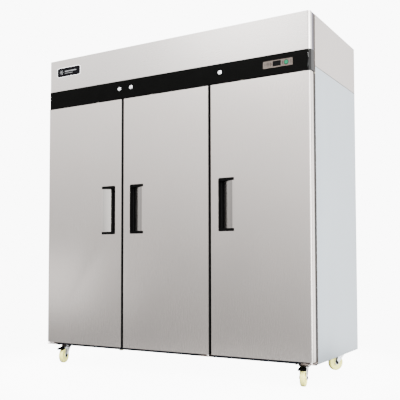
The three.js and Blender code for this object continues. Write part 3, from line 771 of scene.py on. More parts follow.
def make_fascia():
    bm, low, high = wrapped_shell("top_fascia", FASCIA_RADIUS)
    bmesh.ops.bisect_plane(
        bm, geom=bm.verts[:] + bm.edges[:] + bm.faces[:], plane_co=(0, low.y + FASCIA_RETURN, 0),
        plane_no=(0, 1, 0), clear_outer=True,
    )
    lids = [face for face in bm.faces if abs(face.normal.z) > 0.9]
    bmesh.ops.delete(bm, geom=lids, context="FACES_ONLY")
    rims = [e for e in bm.edges if e.is_boundary and abs(e.verts[0].co.z - e.verts[1].co.z) < TINY]
    turned_in = bmesh.ops.extrude_edge_only(bm, edges=rims)["geom"]
    for vert in [item for item in turned_in if isinstance(item, bmesh.types.BMVert)]:
        vert.co.x *= 1 - 18 * MM / high.x
        vert.co.y = min(vert.co.y + 18 * MM, low.y + FASCIA_RETURN)
    face_outwards(bm)
    front = [face for face in bm.faces if abs(face.calc_center_median().y - low.y) < TINY]
    if front[0].normal.y > 0:
        bmesh.ops.reverse_faces(bm, faces=bm.faces)
    piece(
        "fascia_wrap", bm, "cabinet", "fascia_steel", ["top_fascia"],
        wall=1.2 * MM, bevel=1.6 * MM, segments=3, sharp=50.0,
    )
    # A near-black filler behind each end of the fascia's return: painted shade of the gap to the upper side sheet.
    for name, side in (("left", -1), ("right", 1)):
        filler = bmesh.new()
        xs = sorted((side * (high.x - 0.8 * MM), side * (high.x - 7 * MM)))
        add_box(
            filler, (xs[0], low.y + FASCIA_RETURN - 2 * MM, low.z + 1 * MM),
            (xs[1], high.y - 0.4 * MM, high.z - 1 * MM),
        )
        piece(f"fascia_shade_filler_{name}", filler, "cabinet", "filler_grey", bevel=0.6 * MM)


def make_strip():
    """A flat black bar with a glossy cap over each corner."""
    seam = 14.5 * MM
    bar, low, high = wrapped_shell("control_strip", STRIP_RADIUS)
    cut_away(bar, high.x - seam - 0.4 * MM, False)
    cut_away(bar, low.x + seam + 0.4 * MM, True)
    piece(
        "strip_bar", bar, "cabinet", "strip_black", ["control_strip"],
        wall=3 * MM, bevel=0.8 * MM, segments=2, sharp=50.0,
    )
    for name, side in (("left", -1), ("right", 1)):
        cap = wrapped_shell("control_strip", STRIP_RADIUS)[0]
        cut_away(cap, side * (high.x - seam), side > 0)
        piece(
            f"strip_cap_{name}", cap, "cabinet", "cap_black",
            wall=2.6 * MM, bevel=0.8 * MM, segments=2, sharp=50.0,
        )


def make_base_strip():
    """A near-black strip on the face frame's foot under the doors: painted shade where the doors overhang it."""
    low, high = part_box("face_frame")
    bm = bmesh.new()
    add_box(
        bm, (low.x + 4 * MM, low.y - 0.3 * MM, low.z), (high.x - 4 * MM, low.y - 0.02 * MM, low.z + 19 * MM)
    )
    add_box(
        bm, (low.x + 1 * MM, low.y - 12 * MM, low.z - 4.5 * MM),
        (high.x - 1 * MM, low.y - 0.02 * MM, low.z + 4.6 * MM),
    )
    piece("base_shade_strip", bm, "cabinet", "base_slate", bevel=0.1 * MM)


def make_lock(name):
    """A lock cylinder in its rim, with its keyway and the cam behind it, all turning together."""
    node = f"lock_{name}"
    low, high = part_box(node)
    pos = Vector(JOINTS[f"lock_{name}_turn"]["pos_m"])
    face = low.y
    bm = bmesh.new()
    facing = running_back((pos.x, face, pos.z))
    rim = [
        (0.0, 30 * MM), (9.3 * MM, 30 * MM), (9.3 * MM, 2.6 * MM), (13 * MM, 2.6 * MM), (13 * MM, 1.2 * MM),
        (12.2 * MM, 0.3 * MM), (11 * MM, 0.0), (9.4 * MM, 0.2 * MM), (8.8 * MM, 0.9 * MM), (0.0, 0.9 * MM),
    ]
    add_turned(bm, rim, facing, 40)
    piece(f"{node}_rim", bm, node, "chrome", [node])
    core = bmesh.new()
    add_turned(
        core,
        [(0.0, 2 * MM), (7.6 * MM, 2 * MM), (7.6 * MM, 0.6 * MM), (7.0 * MM, 0.15 * MM), (0.0, 0.15 * MM)],
        facing, 32,
    )
    key = bmesh.new()
    add_box(
        key, (pos.x - 1.1 * MM, face - 2 * MM, pos.z - 4.6 * MM),
        (pos.x + 1.1 * MM, face + 1.6 * MM, pos.z + 4.6 * MM),
    )
    piece(f"{node}_core", carved(core, key), node, "zinc", bevel=0.15 * MM, segments=2)
    keyway = bmesh.new()
    add_box(
        keyway, (pos.x - 2.4 * MM, face + 0.7 * MM, pos.z - 5 * MM),
        (pos.x + 2.4 * MM, face + 1.9 * MM, pos.z + 5 * MM),
    )
    piece(f"{node}_keyway", keyway, node, "black_plastic", bevel=0.2 * MM)
    cam = bmesh.new()
    cam_x = (low.x, pos.x + 6 * MM) if pos.x - low.x > high.x - pos.x else (pos.x - 6 * MM, high.x)
    add_box(cam, (cam_x[0], high.y - 3 * MM, pos.z - 6 * MM), (cam_x[1], high.y, pos.z + 6 * MM))
    piece(f"{node}_cam", cam, node, "zinc", bevel=1 * MM)


def snowflake(bm, centre, radius, y0, y1):
    """Six arms with two pairs of twigs each, standing up from y1 to y0."""
    for arm in range(6):
        angle = math.tau * arm / 6
        turn = Matrix.Translation(centre) @ Matrix.Rotation(angle, 4, "Y")
        part = bmesh.new()
        add_box(part, (0, y0, -0.7 * MM), (radius, y1, 0.7 * MM))
        for share, length in ((0.45, 0.34), (0.72, 0.24)):
            for side in (-1, 1):
                twig = bmesh.new()
                add_box(twig, (0, y0, -0.5 * MM), (radius * length, y1, 0.5 * MM))
                twig.transform(
                    Matrix.Translation((radius * share, 0, 0)) @ Matrix.Rotation(
                        math.radians(55 * side), 4, "Y"
                    )
                )
                take_in(part, twig)
        part.transform(turn)
        take_in(bm, part)


def badge_slab(low, high, grow, front, back, radius):
    """A rounded plate around the badge's outline, grown by a margin."""
    bm = bmesh.new()
    add_box(bm, (low.x - grow, front, low.z - grow), (high.x + grow, back, high.z + grow))
    round_edges(bm, lambda a, b: abs(a.y - b.y) > 0.4 * MM, radius, 10)
    return bm


def make_badge():
    """A black plate in a pale bezel, with a snowflake and two plain bars where a name would be."""
    low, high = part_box("badge")
    plate = badge_slab(low, high, 0.0, low.y, high.y, 14 * MM)
    piece(
        "badge_plate", plate, "cabinet", "badge_black", ["badge"], bevel=0.4 * MM, segments=2
    )
    ring = badge_slab(low, high, 4.5 * MM, low.y + 0.3 * MM, high.y, 17 * MM)
    hole = badge_slab(low, high, 0.2 * MM, low.y - MM, high.y + MM, 14 * MM)
    piece(
        "badge_bezel", carved(ring, hole), "cabinet", "bezel_white", bevel=0.4 * MM,
        segments=2,
    )
    centre = (low + high) / 2
    face = low.y - 0.3 * MM
    sink = low.y + 0.6 * MM
    motif = bmesh.new()
    snowflake(motif, Vector((low.x + 38 * MM, 0, centre.z)), 18 * MM, face, sink)
    bar_start = low.x + 68 * MM
    for rise, reach, half in ((5 * MM, 104 * MM, 3.2 * MM), (-9 * MM, 70 * MM, 1.6 * MM)):
        z = centre.z + rise
        add_box(motif, (bar_start, face, z - half), (bar_start + reach, sink, z + half))
    piece("badge_motif", motif, "cabinet", "badge_silver", bevel=0.3 * MM, segments=2)


def make_controls():
    low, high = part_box("controller_plate")
    plate = bmesh.new()
    add_box(plate, low, high)
    round_edges(plate, lambda a, b: abs(a.y - b.y) > 0.5 * MM, 3.5 * MM, 6)
    window = bmesh.new()
    glass = (low.x + 61 * MM, low.x + 113 * MM, low.z + 6 * MM, high.z - 4 * MM)
    add_box(window, (glass[0], low.y - 1 * MM, glass[2]), (glass[1], low.y + 0.9 * MM, glass[3]))
    plate = carved(plate, window)
    for button in ("power_button", "set_button"):
        button_low, button_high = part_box(button)
        middle = (button_low + button_high) / 2
        hole = bmesh.new()
        radius = (button_high.x - button_low.x) / 2 + 0.6 * MM
        add_rod(
            hole, (middle.x, low.y - 2 * MM, middle.z), (middle.x, high.y + 2 * MM, middle.z), radius, 40
        )
        plate = carved(plate, hole)
    piece(
        "controller_fascia", plate, "cabinet", "panel_grey", ["controller_plate"],
        bevel=0.3 * MM, segments=2,
    )
    pane = bmesh.new()
    rim = 0.4 * MM
    add_box(
        pane, (glass[0] + rim, low.y + 0.3 * MM, glass[2] + rim),
        (glass[1] - rim, low.y + 1.0 * MM, glass[3] - rim),
    )
    piece("controller_display", pane, "cabinet", "display_glass", bevel=0.3 * MM, segments=2)
    marks = bmesh.new()
    middle_z = (low.z + high.z) / 2
    for along, half in (
        (12 * MM, 4 * MM), (47 * MM, 11 * MM), (53 * MM, 7 * MM), (124 * MM, 9 * MM), (176 * MM, 12 * MM)
    ):
        x = low.x + along
        add_box(
            marks, (x - 1.6 * MM, low.y - 0.15 * MM, middle_z - half),
            (x + 1.6 * MM, low.y + 0.4 * MM, middle_z + half),
        )
    piece("controller_marks", marks, "cabinet", "panel_mark", bevel=0.1 * MM, segments=1)
    lamp_low, lamp_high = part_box("power_button")
    lamp = (lamp_low + lamp_high) / 2
    facing = running_back((lamp.x, low.y - 0.2 * MM, lamp.z))
    ring = bmesh.new()
    add_turned(
        ring,
        [
            (12 * MM, 0.8 * MM), (12 * MM, 0.1 * MM), (13 * MM, 0.0), (15 * MM, 0.1 * MM),
            (15 * MM, 0.8 * MM), (12 * MM, 0.8 * MM),
        ],
        facing, 40,
    )
    piece("power_button_ring", ring, "cabinet", "panel_mark")
    for node, finish, slot in (
        ("power_button", "lamp_green", "lamp_green"), ("set_button", "button_grey", "button_grey")
    ):
        button_low, button_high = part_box(node)
        middle = (button_low + button_high) / 2
        radius = (button_high.x - button_low.x) / 2
        facing = running_back((middle.x, button_low.y, middle.z))
        depth = button_high.y - button_low.y
        profile = [
            (0.0, depth), (radius, depth), (radius, 1.2 * MM), (radius - 0.4 * MM, 0.4 * MM),
            (radius - 1.4 * MM, 0.0), (radius - 2.6 * MM, 0.1 * MM), (radius - 3.6 * MM, 0.5 * MM),
            (0.0, 0.8 * MM),
        ]
        bm = bmesh.new()
        add_turned(bm, profile, facing, 40)
        piece(f"{node}_cap", bm, node, finish, [node])


def make_door_switches():
    """A grey sensor lug under the strip over each door, two thirds of the way from its hinge."""
    strip_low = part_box("control_strip")[0]
    for name, hand in DOORS.items():
        low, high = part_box(f"door_{name}_skin")
        hinge_edge = high.x if hand > 0 else low.x
        x = hinge_edge - hand * (high.x - low.x) * 0.67
        bm = bmesh.new()
        add_box(
            bm, (x - 9 * MM, strip_low.y + 6 * MM, high.z + 1.6 * MM),
            (x + 9 * MM, strip_low.y + 22 * MM, strip_low.z + 1 * MM),
        )
        piece(f"door_switch_{name}", bm, "cabinet", "switch_grey", bevel=0.8 * MM)


# Casters


def caster_place(name):
    """The caster's own frame: origin on the floor under its swivel, X along the axle, Y out to the wheel."""
    swivel = Vector(JOINTS[f"swivel_{name}"]["pos_m"])
    roll = JOINTS[f"roll_{name}"]
    axle = Vector(roll["axis"]).normalized()
    up = Vector((0, 0, 1))
    turn = Matrix((axle, up.cross(axle), up)).transposed().to_4x4()
    return Matrix.Translation((swivel.x, swivel.y, 0)) @ turn, Vector(roll["pos_m"])


def caster_fork(name, braked):
    node = f"caster_{name}_fork"
    place, hub = caster_place(name)
    trail = (Vector((hub.x, hub.y, 0)) - place.translation).length
    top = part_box(node)[1].z
    bm = bmesh.new()
    race = [
        (0.0, top - 24 * MM), (10 * MM, top - 24 * MM), (12 * MM, top - 19 * MM), (24 * MM, top - 18 * MM),
        (33 * MM, top - 14 * MM), (36 * MM, top - 9 * MM), (36 * MM, top - 7 * MM), (33 * MM, top - 6 * MM),
        (33 * MM, top - 4.5 * MM), (35.5 * MM, top - 3.5 * MM), (35.5 * MM, top - 1.5 * MM),
        (30 * MM, top - 0.6 * MM), (10 * MM, top), (0.0, top),
    ]
    # The raceway's dark brown is painted shade under the base.
    raceway = bmesh.new()
    add_turned(raceway, race, place, 40)
    piece(f"{node}_raceway", raceway, f"fork_{name}", "race_steel")
    bolts = bmesh.new()
    for side in (-1, 1):
        inner = side * 17 * MM
        thick = side * 3 * MM
        leg = [(-24 * MM, 112 * MM), (-24 * MM, 103 * MM)]
        leg += arc((trail, hub.z), 14 * MM, 190, 370, 12)
        leg += [(trail + 5 * MM, 97 * MM)]
        leg += [(54 * MM, 99 * MM), (55 * MM, 112 * MM)] if braked else [(34 * MM, 112 * MM)]
        part = bmesh.new()
        add_slab(part, [(inner, y, z) for y, z in leg], (thick, 0, 0))
        take_in(bm, part)
        web = bmesh.new()
        add_box(
            web, (inner + thick if side < 0 else 8 * MM, -20 * MM, 109 * MM),
            (-8 * MM if side < 0 else inner + thick, 30 * MM, 112 * MM),
        )
        take_in(bm, web)
        head = inner + thick
        add_rod(bolts, (head, trail, hub.z), (head + side * 4.5 * MM, trail, hub.z), 9.5 * MM, 6)
        add_rod(bolts, (head, trail, hub.z), (head + side * 0.9 * MM, trail, hub.z), 11.5 * MM, 24)
        # A thin dark rib on each leg's outer face: painted shade along the leg's edge beside the wheel.
        rib = [
            (trail + 2 * MM, hub.z), (trail + 13 * MM, hub.z + 4 * MM), (trail + 3 * MM, 98 * MM),
            (trail - 8 * MM, 98 * MM),
        ]
        part = bmesh.new()
        add_slab(part, [(head, y, z) for y, z in rib], (side * 1.4 * MM, 0, 0))
        take_in(bolts, part)
    add_rod(bolts, (-25 * MM, trail, hub.z), (25 * MM, trail, hub.z), 4.6 * MM, 16)
    for part in (bm, bolts):
        face_outwards(part)
        part.transform(place)
    piece(f"{node}_bolt", bolts, f"fork_{name}", "hinge_black", bevel=0.4 * MM, segments=2)
    piece(f"{node}_pressing", bm, f"fork_{name}", "zinc", [node], bevel=0.7 * MM, segments=2)


def caster_wheel(name):
    node = f"caster_{name}_wheel"
    place, hub = caster_place(name)
    radius = (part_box(node)[1].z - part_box(node)[0].z) / 2
    half = 15 * MM
    groove = 1.2 * MM
    profile = [
        (5.5 * MM, -half - 1 * MM), (11 * MM, -half - 1 * MM), (12.5 * MM, -half),
        (13.5 * MM, -half + 4 * MM), (17 * MM, -half + 6 * MM), (32 * MM, -half + 6 * MM),
        (36 * MM, -half + 3 * MM), (38 * MM, -half + 0.6 * MM), (radius - 6 * MM, -half),
        (radius - 2.4 * MM, -half + 2 * MM), (radius - 0.6 * MM, -half + 5.5 * MM),
        (radius, -half + 10 * MM), (radius, -groove),
    ]
    profile += [(r, -h) for r, h in reversed(profile)] + [profile[0]]
    bm = bmesh.new()
    trail = (Vector((hub.x, hub.y, 0)) - place.translation).length
    along_axle = Matrix.Translation((0, trail, hub.z)) @ Matrix.Rotation(math.radians(90), 4, "Y")
    add_turned(bm, profile, along_axle, 56)
    bm.transform(place)
    piece(f"{node}_tyre", bm, f"wheel_{name}", "wheel_nylon", [node], sharp=50.0)
    bearing = bmesh.new()
    for side in (-1, 1):
        flip = Matrix.Rotation(0 if side > 0 else math.pi, 4, "Y")
        ring = [
            (5.6 * MM, half + 1.4 * MM), (10 * MM, half + 1.4 * MM), (10.4 * MM, half + 0.9 * MM),
            (10.4 * MM, half - 2 * MM), (5.6 * MM, half - 2 * MM), (5.6 * MM, half + 1.4 * MM),
        ]
        add_turned(bearing, ring, along_axle @ flip, 32)
    bearing.transform(place)
    piece(f"{node}_bush", bearing, f"wheel_{name}", "black_plastic", sharp=50.0)


def caster_pedal(name):
    node = f"caster_{name}_pedal"
    place = caster_place(name)[0]
    bm = bmesh.new()
    side = [
        (40 * MM, 103.5 * MM), (60 * MM, 100.6 * MM), (86 * MM, 95 * MM), (89 * MM, 96.5 * MM),
        (88 * MM, 100 * MM), (62 * MM, 106 * MM), (52 * MM, 111 * MM), (41 * MM, 112 * MM),
    ]
    add_slab(bm, [(-15.5 * MM, y, z) for y, z in side], (31 * MM, 0, 0))
    tread = bmesh.new()
    toe = [
        (58 * MM, 99.5 * MM), (86 * MM, 94.5 * MM), (90 * MM, 95.5 * MM), (90 * MM, 103.5 * MM),
        (58 * MM, 109 * MM),
    ]
    add_slab(tread, [(-23 * MM, y, z) for y, z in toe], (46 * MM, 0, 0))
    take_in(bm, tread)
    for step in range(5):
        y = (64 + 4.6 * step) * MM
        z = (108.2 - 0.8 * step) * MM
        add_rod(bm, (-18 * MM, y, z), (18 * MM, y, z), 0.9 * MM, 8)
    add_rod(bm, (-20.5 * MM, 46 * MM, 108 * MM), (20.5 * MM, 46 * MM, 108 * MM), 3 * MM, 16)
    face_outwards(bm)
    bm.transform(place)
    piece(
        f"{node}_lever", bm, f"pedal_{name}", "black_plastic", [node], bevel=0.9 * MM,
        segments=2,
    )


def caster_plate(name):
    place = caster_place(name)[0]
    centre = place.translation
    base_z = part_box("base_pan")[0].z
    bm = bmesh.new()
    add_box(
        bm, (centre.x - 50 * MM, centre.y - 44 * MM, base_z),
        (centre.x + 50 * MM, centre.y + 44 * MM, base_z + 3 * MM),
    )
    round_edges(bm, lambda a, b: abs(a.z - b.z) > 2 * MM, 6 * MM, 5)
    for dx in (-38, 38):
        for dy in (-32, 32):
            spot = Vector((centre.x + dx * MM, centre.y + dy * MM, base_z))
            add_rod(bm, spot, spot - Vector((0, 0, 5 * MM)), 6 * MM, 6)
            add_rod(bm, spot, spot - Vector((0, 0, 1.4 * MM)), 8 * MM, 20)
    face_outwards(bm)
    piece(f"caster_{name}_plate", bm, "cabinet", "zinc", bevel=0.5 * MM, segments=2)


def make_casters():
    for name in ("front_left", "front_right", "rear_left", "rear_right"):
        braked = name.startswith("front")
        caster_fork(name, braked)
        caster_wheel(name)
        caster_plate(name)
        if braked:
            caster_pedal(name)


# Interior

SHELF_SECTIONS = ("left", "centre", "right")
WIRES_PER_SECTION = 27


def section_walls():
    """The clear width of the three sections, between the liner walls and the two mullions."""
    low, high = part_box("shelf_lower")
    mullion = (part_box("mullion_right")[0].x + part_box("mullion_right")[1].x) / 2
    clear = 10 * MM
    return ((low.x, -mullion - clear), (-mullion + clear, mullion - clear), (mullion + clear, high.x))


def wire_shelf(node, section, left, right):
    """A wire shelf: a rim rod, three cross rods and a row of thin wires turned down at the front."""
    low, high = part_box(node)
    top = high.z
    rim, wire = 3.2 * MM, 1.7 * MM
    z = top - 2 * wire - rim
    bm = bmesh.new()
    corners = [
        (left + rim, low.y + rim, z), (right - rim, low.y + rim, z),
        (right - rim, high.y - rim, z), (left + rim, high.y - rim, z),
    ]
    for start, end in zip(corners, corners[1:] + corners[:1]):
        add_rod(bm, start, end, rim, 10)
        bmesh.ops.create_uvsphere(
            bm, u_segments=10, v_segments=6, radius=rim, matrix=Matrix.Translation(start)
        )
    for share in (0.25, 0.5, 0.75):
        y = low.y + (high.y - low.y) * share
        add_rod(bm, (left + rim, y, z), (right - rim, y, z), 2.6 * MM, 8)
    for step in range(WIRES_PER_SECTION):
        x = left + 12 * MM + (right - left - 24 * MM) * step / (WIRES_PER_SECTION - 1)
        add_rod(bm, (x, low.y + 1.2 * wire, top - wire), (x, high.y - wire, top - wire), wire, 6)
        add_rod(bm, (x, low.y + 1.2 * wire, top - wire), (x, low.y + 1.2 * wire, z - rim), wire, 6)
    piece(f"{node}_wires_{section}", bm, "cabinet", "wire_white", [node])
    clips = bmesh.new()
    for x in (left, right):
        for y in (low.y + 30 * MM, high.y - 30 * MM):
            inward = 1 if x == left else -1
            xs = sorted((x - inward * 6 * MM, x + inward * 5 * MM))
            add_box(clips, (xs[0], y - 7 * MM, z - rim - 4 * MM), (xs[1], y + 7 * MM, z - rim - 1.5 * MM))
            xs = sorted((x - inward * 6 * MM, x - inward * 4.4 * MM))
            add_box(clips, (xs[0], y - 7 * MM, z - rim - 4 * MM), (xs[1], y + 7 * MM, z + 9 * MM))
    piece(f"{node}_clips_{section}", clips, "cabinet", "zinc", bevel=0.4 * MM, segments=2)


def pilaster(name, x, y, across, z0, z1):
    """A slotted upright for shelf clips: two strips with a rung between every pair of slots."""
    bm = bmesh.new()
    thick, half = 1.5 * MM, 8 * MM
    for start in (-half, half - 4 * MM):
        if across:
            add_box(bm, (x - thick, y + start, z0), (x + thick, y + start + 4 * MM, z1))
        else:
            add_box(bm, (x + start, y - thick, z0), (x + start + 4 * MM, y + thick, z1))
    rungs = int((z1 - z0) / (25 * MM))
    for rung in range(rungs + 1):
        z = z0 + (z1 - z0 - 12 * MM) * rung / rungs
        if across:
            add_box(bm, (x - thick, y - half + 4 * MM, z), (x + thick, y + half - 4 * MM, z + 12 * MM))
        else:
            add_box(bm, (x - half + 4 * MM, y - thick, z), (x + half - 4 * MM, y + thick, z + 12 * MM))
    piece(name, bm, "cabinet", "zinc")


def make_shelves():
    walls = section_walls()
    for node in ("shelf_lower", "shelf_centre", "shelf_upper"):
        for section, (left, right) in zip(SHELF_SECTIONS, walls):
            wire_shelf(node, section, left, right)
    low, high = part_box("shelf_lower")
    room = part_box("inner_liner")
    z0, z1 = room[0].z + 60 * MM, room[1].z - 170 * MM
    edge = walls[2][1] + 8 * MM
    for side, name in ((-1, "left"), (1, "right")):
        for y, place in ((low.y + 30 * MM, "front"), (high.y - 30 * MM, "rear")):
            pilaster(f"pilaster_{name}_{place}", side * edge, y, True, z0, z1)
        column = (walls[1][1] + walls[2][0]) / 2
        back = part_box("mullion_right")[1].y + 3 * MM
        pilaster(f"pilaster_mullion_{name}", side * column, back, False, z0, z1)
        pilaster(f"pilaster_back_{name}", side * column, high.y + 9 * MM, False, z0, z1)


def fan_rotor(node, body, blades, finish, axis):
    """A hub with twisted blades, spinning on the axis named."""
    low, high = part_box(node)
    centre = (low + high) / 2
    size = high - low
    radius = max(size) / 2 * 0.94
    depth = min(size)
    turn = Matrix.Rotation(math.radians(-90), 4, "X") if axis == "Y" else Matrix.Identity(4)
    place = Matrix.Translation(centre) @ turn
    hub = radius * 0.3
    bm = bmesh.new()
    add_turned(
        bm,
        [
            (0.0, -depth * 0.42), (hub * 0.8, -depth * 0.42), (hub, -depth * 0.3), (hub, depth * 0.42),
            (0.0, depth * 0.42),
        ],
        Matrix.Identity(4), 32,
    )
    for blade in range(blades):
        part = bmesh.new()
        bmesh.ops.create_grid(part, x_segments=10, y_segments=8, size=0.5)
        for vert in part.verts:
            out, chord = vert.co.x + 0.5, vert.co.y
            reach = hub * 0.9 + (radius - hub * 0.9) * out
            angle = math.tau * blade / blades + chord * (0.95 + 0.1 * out) - 0.25 * out
            tilt = 0.8 - 0.25 * out
            vert.co = (reach * math.cos(angle), reach * math.sin(angle), depth * tilt * chord)
        bmesh.ops.solidify(part, geom=part.faces[:], thickness=1.6 * MM)
        face_outwards(part)
        take_in(bm, part)
    bm.transform(place)
    piece(f"{node}_rotor", bm, body, finish, [node], sharp=50.0)


def guard(bm, centre, axis, radii, side, wire=1.4 * MM, spokes=6):
    """A wire finger guard: rings round the axis, with straight spokes across one side of them."""
    turn = Matrix.Rotation(math.radians(-90), 4, "X") if axis == "Y" else Matrix.Identity(4)
    place = Matrix.Translation(centre) @ turn
    for radius in radii:
        ring = [
            (radius + wire * math.cos(a), wire * math.sin(a)) for a in [math.tau * k / 6 for k in range(7)]
        ]
        add_turned(bm, ring, place, 36)
    for spoke in range(spokes):
        angle = math.pi * spoke / spokes
        out = Vector((radii[-1] * math.cos(angle), radii[-1] * math.sin(angle), side * 2 * wire))
        inn = Vector((-out.x, -out.y, out.z))
        add_rod(bm, place @ inn, place @ out, wire, 6)


def make_evaporator():
    low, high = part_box("evaporator_cover")
    sheet = 1.2 * MM
    body = bmesh.new()
    add_box(body, low, high)
    for x in (low.x, high.x):
        round_edges(body, upright_at(x, low.y), 10 * MM, 6)
    round_edges(
        body, lambda a, b: all(abs(p.z - low.z) < TINY and abs(p.y - low.y) < TINY for p in (a, b)), 8 * MM,
        5,
    )
    hollow = bmesh.new()
    add_box(
        hollow, (low.x + sheet, low.y + sheet + 6 * MM, low.z + sheet),
        (high.x - sheet, high.y - sheet, high.z + MM),
    )
    cover = carved(body, hollow)
    fan_low, fan_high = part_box("evaporator_fan")
    centre = (fan_low + fan_high) / 2
    hole = bmesh.new()
    add_rod(hole, (centre.x, centre.y, low.z - 5 * MM), (centre.x, centre.y, low.z + 5 * MM), 103 * MM, 48)
    cover = carved(cover, hole)
    slots = bmesh.new()
    for row in range(9):
        z = low.z + 30 * MM + row * 11 * MM
        for x0, x1 in ((low.x + 30 * MM, -8 * MM), (8 * MM, high.x - 30 * MM)):
            add_box(slots, (x0, low.y - 2 * MM, z), (x1, low.y + 12 * MM, z + 5 * MM))
    cover = carved(cover, slots)
    piece(
        "evaporator_housing", cover, "cabinet", "liner_steel", ["evaporator_cover"],
        bevel=0.4 * MM, segments=2,
    )
    coil = bmesh.new()
    for step in range(70):
        x = low.x + 14 * MM + step * 8 * MM
        add_box(
            coil, (x, low.y + 16 * MM, low.z + 26 * MM), (x + 0.5 * MM, low.y + 60 * MM, high.z - 8 * MM)
        )
    piece("evaporator_coil_fins", coil, "cabinet", "fins")
    cage = bmesh.new()
    guard(
        cage, Vector((centre.x, centre.y, low.z - 1.6 * MM)), "Z",
        [r * MM for r in (18, 36, 54, 72, 90, 106)], -1,
    )
    piece("evaporator_fan_guard", cage, "cabinet", "wire_white")
    fan_rotor("evaporator_fan", "evaporator_fan", 5, "black_plastic", "Z")
    for section, (left, right) in zip(SHELF_SECTIONS, section_walls()):
        x = (left + right) / 2
        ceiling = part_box("inner_liner")[1].z - 1.6 * MM
        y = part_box("mullion_left")[1].y + 12 * MM
        lamp = bmesh.new()
        add_box(lamp, (x - 200 * MM, y, ceiling - 12 * MM), (x + 200 * MM, y + 22 * MM, ceiling - 4 * MM))
        piece(f"lamp_bar_{section}", lamp, "cabinet", "lamp_white", bevel=3 * MM, segments=4)
        base = bmesh.new()
        add_box(base, (x - 206 * MM, y - 1 * MM, ceiling - 4 * MM), (x + 206 * MM, y + 23 * MM, ceiling))
        for end in (-1, 1):
            xs = sorted((x + end * 200 * MM, x + end * 207 * MM))
            add_box(base, (xs[0], y - 1 * MM, ceiling - 13 * MM), (xs[1], y + 23 * MM, ceiling))
        piece(
            f"lamp_holder_{section}", base, "cabinet", "switch_grey", bevel=0.8 * MM,
            segments=2,
        )


# Machine compartment, open to the top behind the fascia


def make_compressor():
    low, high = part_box("compressor")
    centre = (low + high) / 2
    x, y, floor = centre.x, centre.y, low.z
    radius = 84 * MM
    top = high.z
    can = bmesh.new()
    profile = [
        (0.0, floor + 20 * MM), (50 * MM, floor + 20 * MM), (72 * MM, floor + 28 * MM),
        (radius - 2 * MM, floor + 46 * MM),
    ]
    profile += [(radius - 2 * MM, floor + 92 * MM), (radius, floor + 94 * MM), (radius, floor + 102 * MM)]
    profile += [
        (radius - 2 * MM, floor + 104 * MM), (radius - 2 * MM, top - 50 * MM),
        (radius - 12 * MM, top - 22 * MM),
    ]
    profile += [(radius - 34 * MM, top - 7 * MM), (radius - 60 * MM, top - 1 * MM), (0.0, top - 0.5 * MM)]
    add_turned(can, profile, Matrix.Translation((x, y, 0)), 56)
    piece("compressor_can", can, "cabinet", "shell_black", ["compressor"], sharp=50.0)
    feet = bmesh.new()
    half_x, half_y = (high.x - low.x) / 2 - 1 * MM, (high.y - low.y) / 2 - 1 * MM
    add_box(feet, (x - half_x, y - half_y, floor + 14 * MM), (x + half_x, y + half_y, floor + 18 * MM))
    round_edges(feet, lambda a, b: abs(a.z - b.z) > 2 * MM, 14 * MM, 6)
    face_outwards(feet)
    piece("compressor_foot_plate", feet, "cabinet", "shell_black", bevel=0.8 * MM)
    mounts = bmesh.new()
    bolts = bmesh.new()
    for dx in (-half_x + 16 * MM, half_x - 16 * MM):
        for dy in (-half_y + 16 * MM, half_y - 16 * MM):
            spot = Matrix.Translation((x + dx, y + dy, floor))
            rubber = [
                (0.0, 0.4 * MM), (11 * MM, 0.4 * MM), (12 * MM, 3 * MM), (9 * MM, 6 * MM),
                (12 * MM, 9 * MM), (11 * MM, 13.6 * MM), (0.0, 13.6 * MM),
            ]
            add_turned(mounts, rubber, spot, 20)
            add_rod(bolts, (x + dx, y + dy, floor + 18 * MM), (x + dx, y + dy, floor + 24 * MM), 6 * MM, 6)
    piece("compressor_mounts", mounts, "cabinet", "gasket_rubber")
    piece("compressor_bolts", bolts, "cabinet", "zinc", bevel=0.5 * MM, segments=2)
    box = bmesh.new()
    add_box(
        box, (x - 34 * MM, y + radius - 8 * MM, floor + 60 * MM),
        (x + 34 * MM, y + radius + 34 * MM, floor + 142 * MM),
    )
    piece(
        "compressor_terminal_box", box, "cabinet", "black_plastic", bevel=4 * MM,
        segments=4,
    )


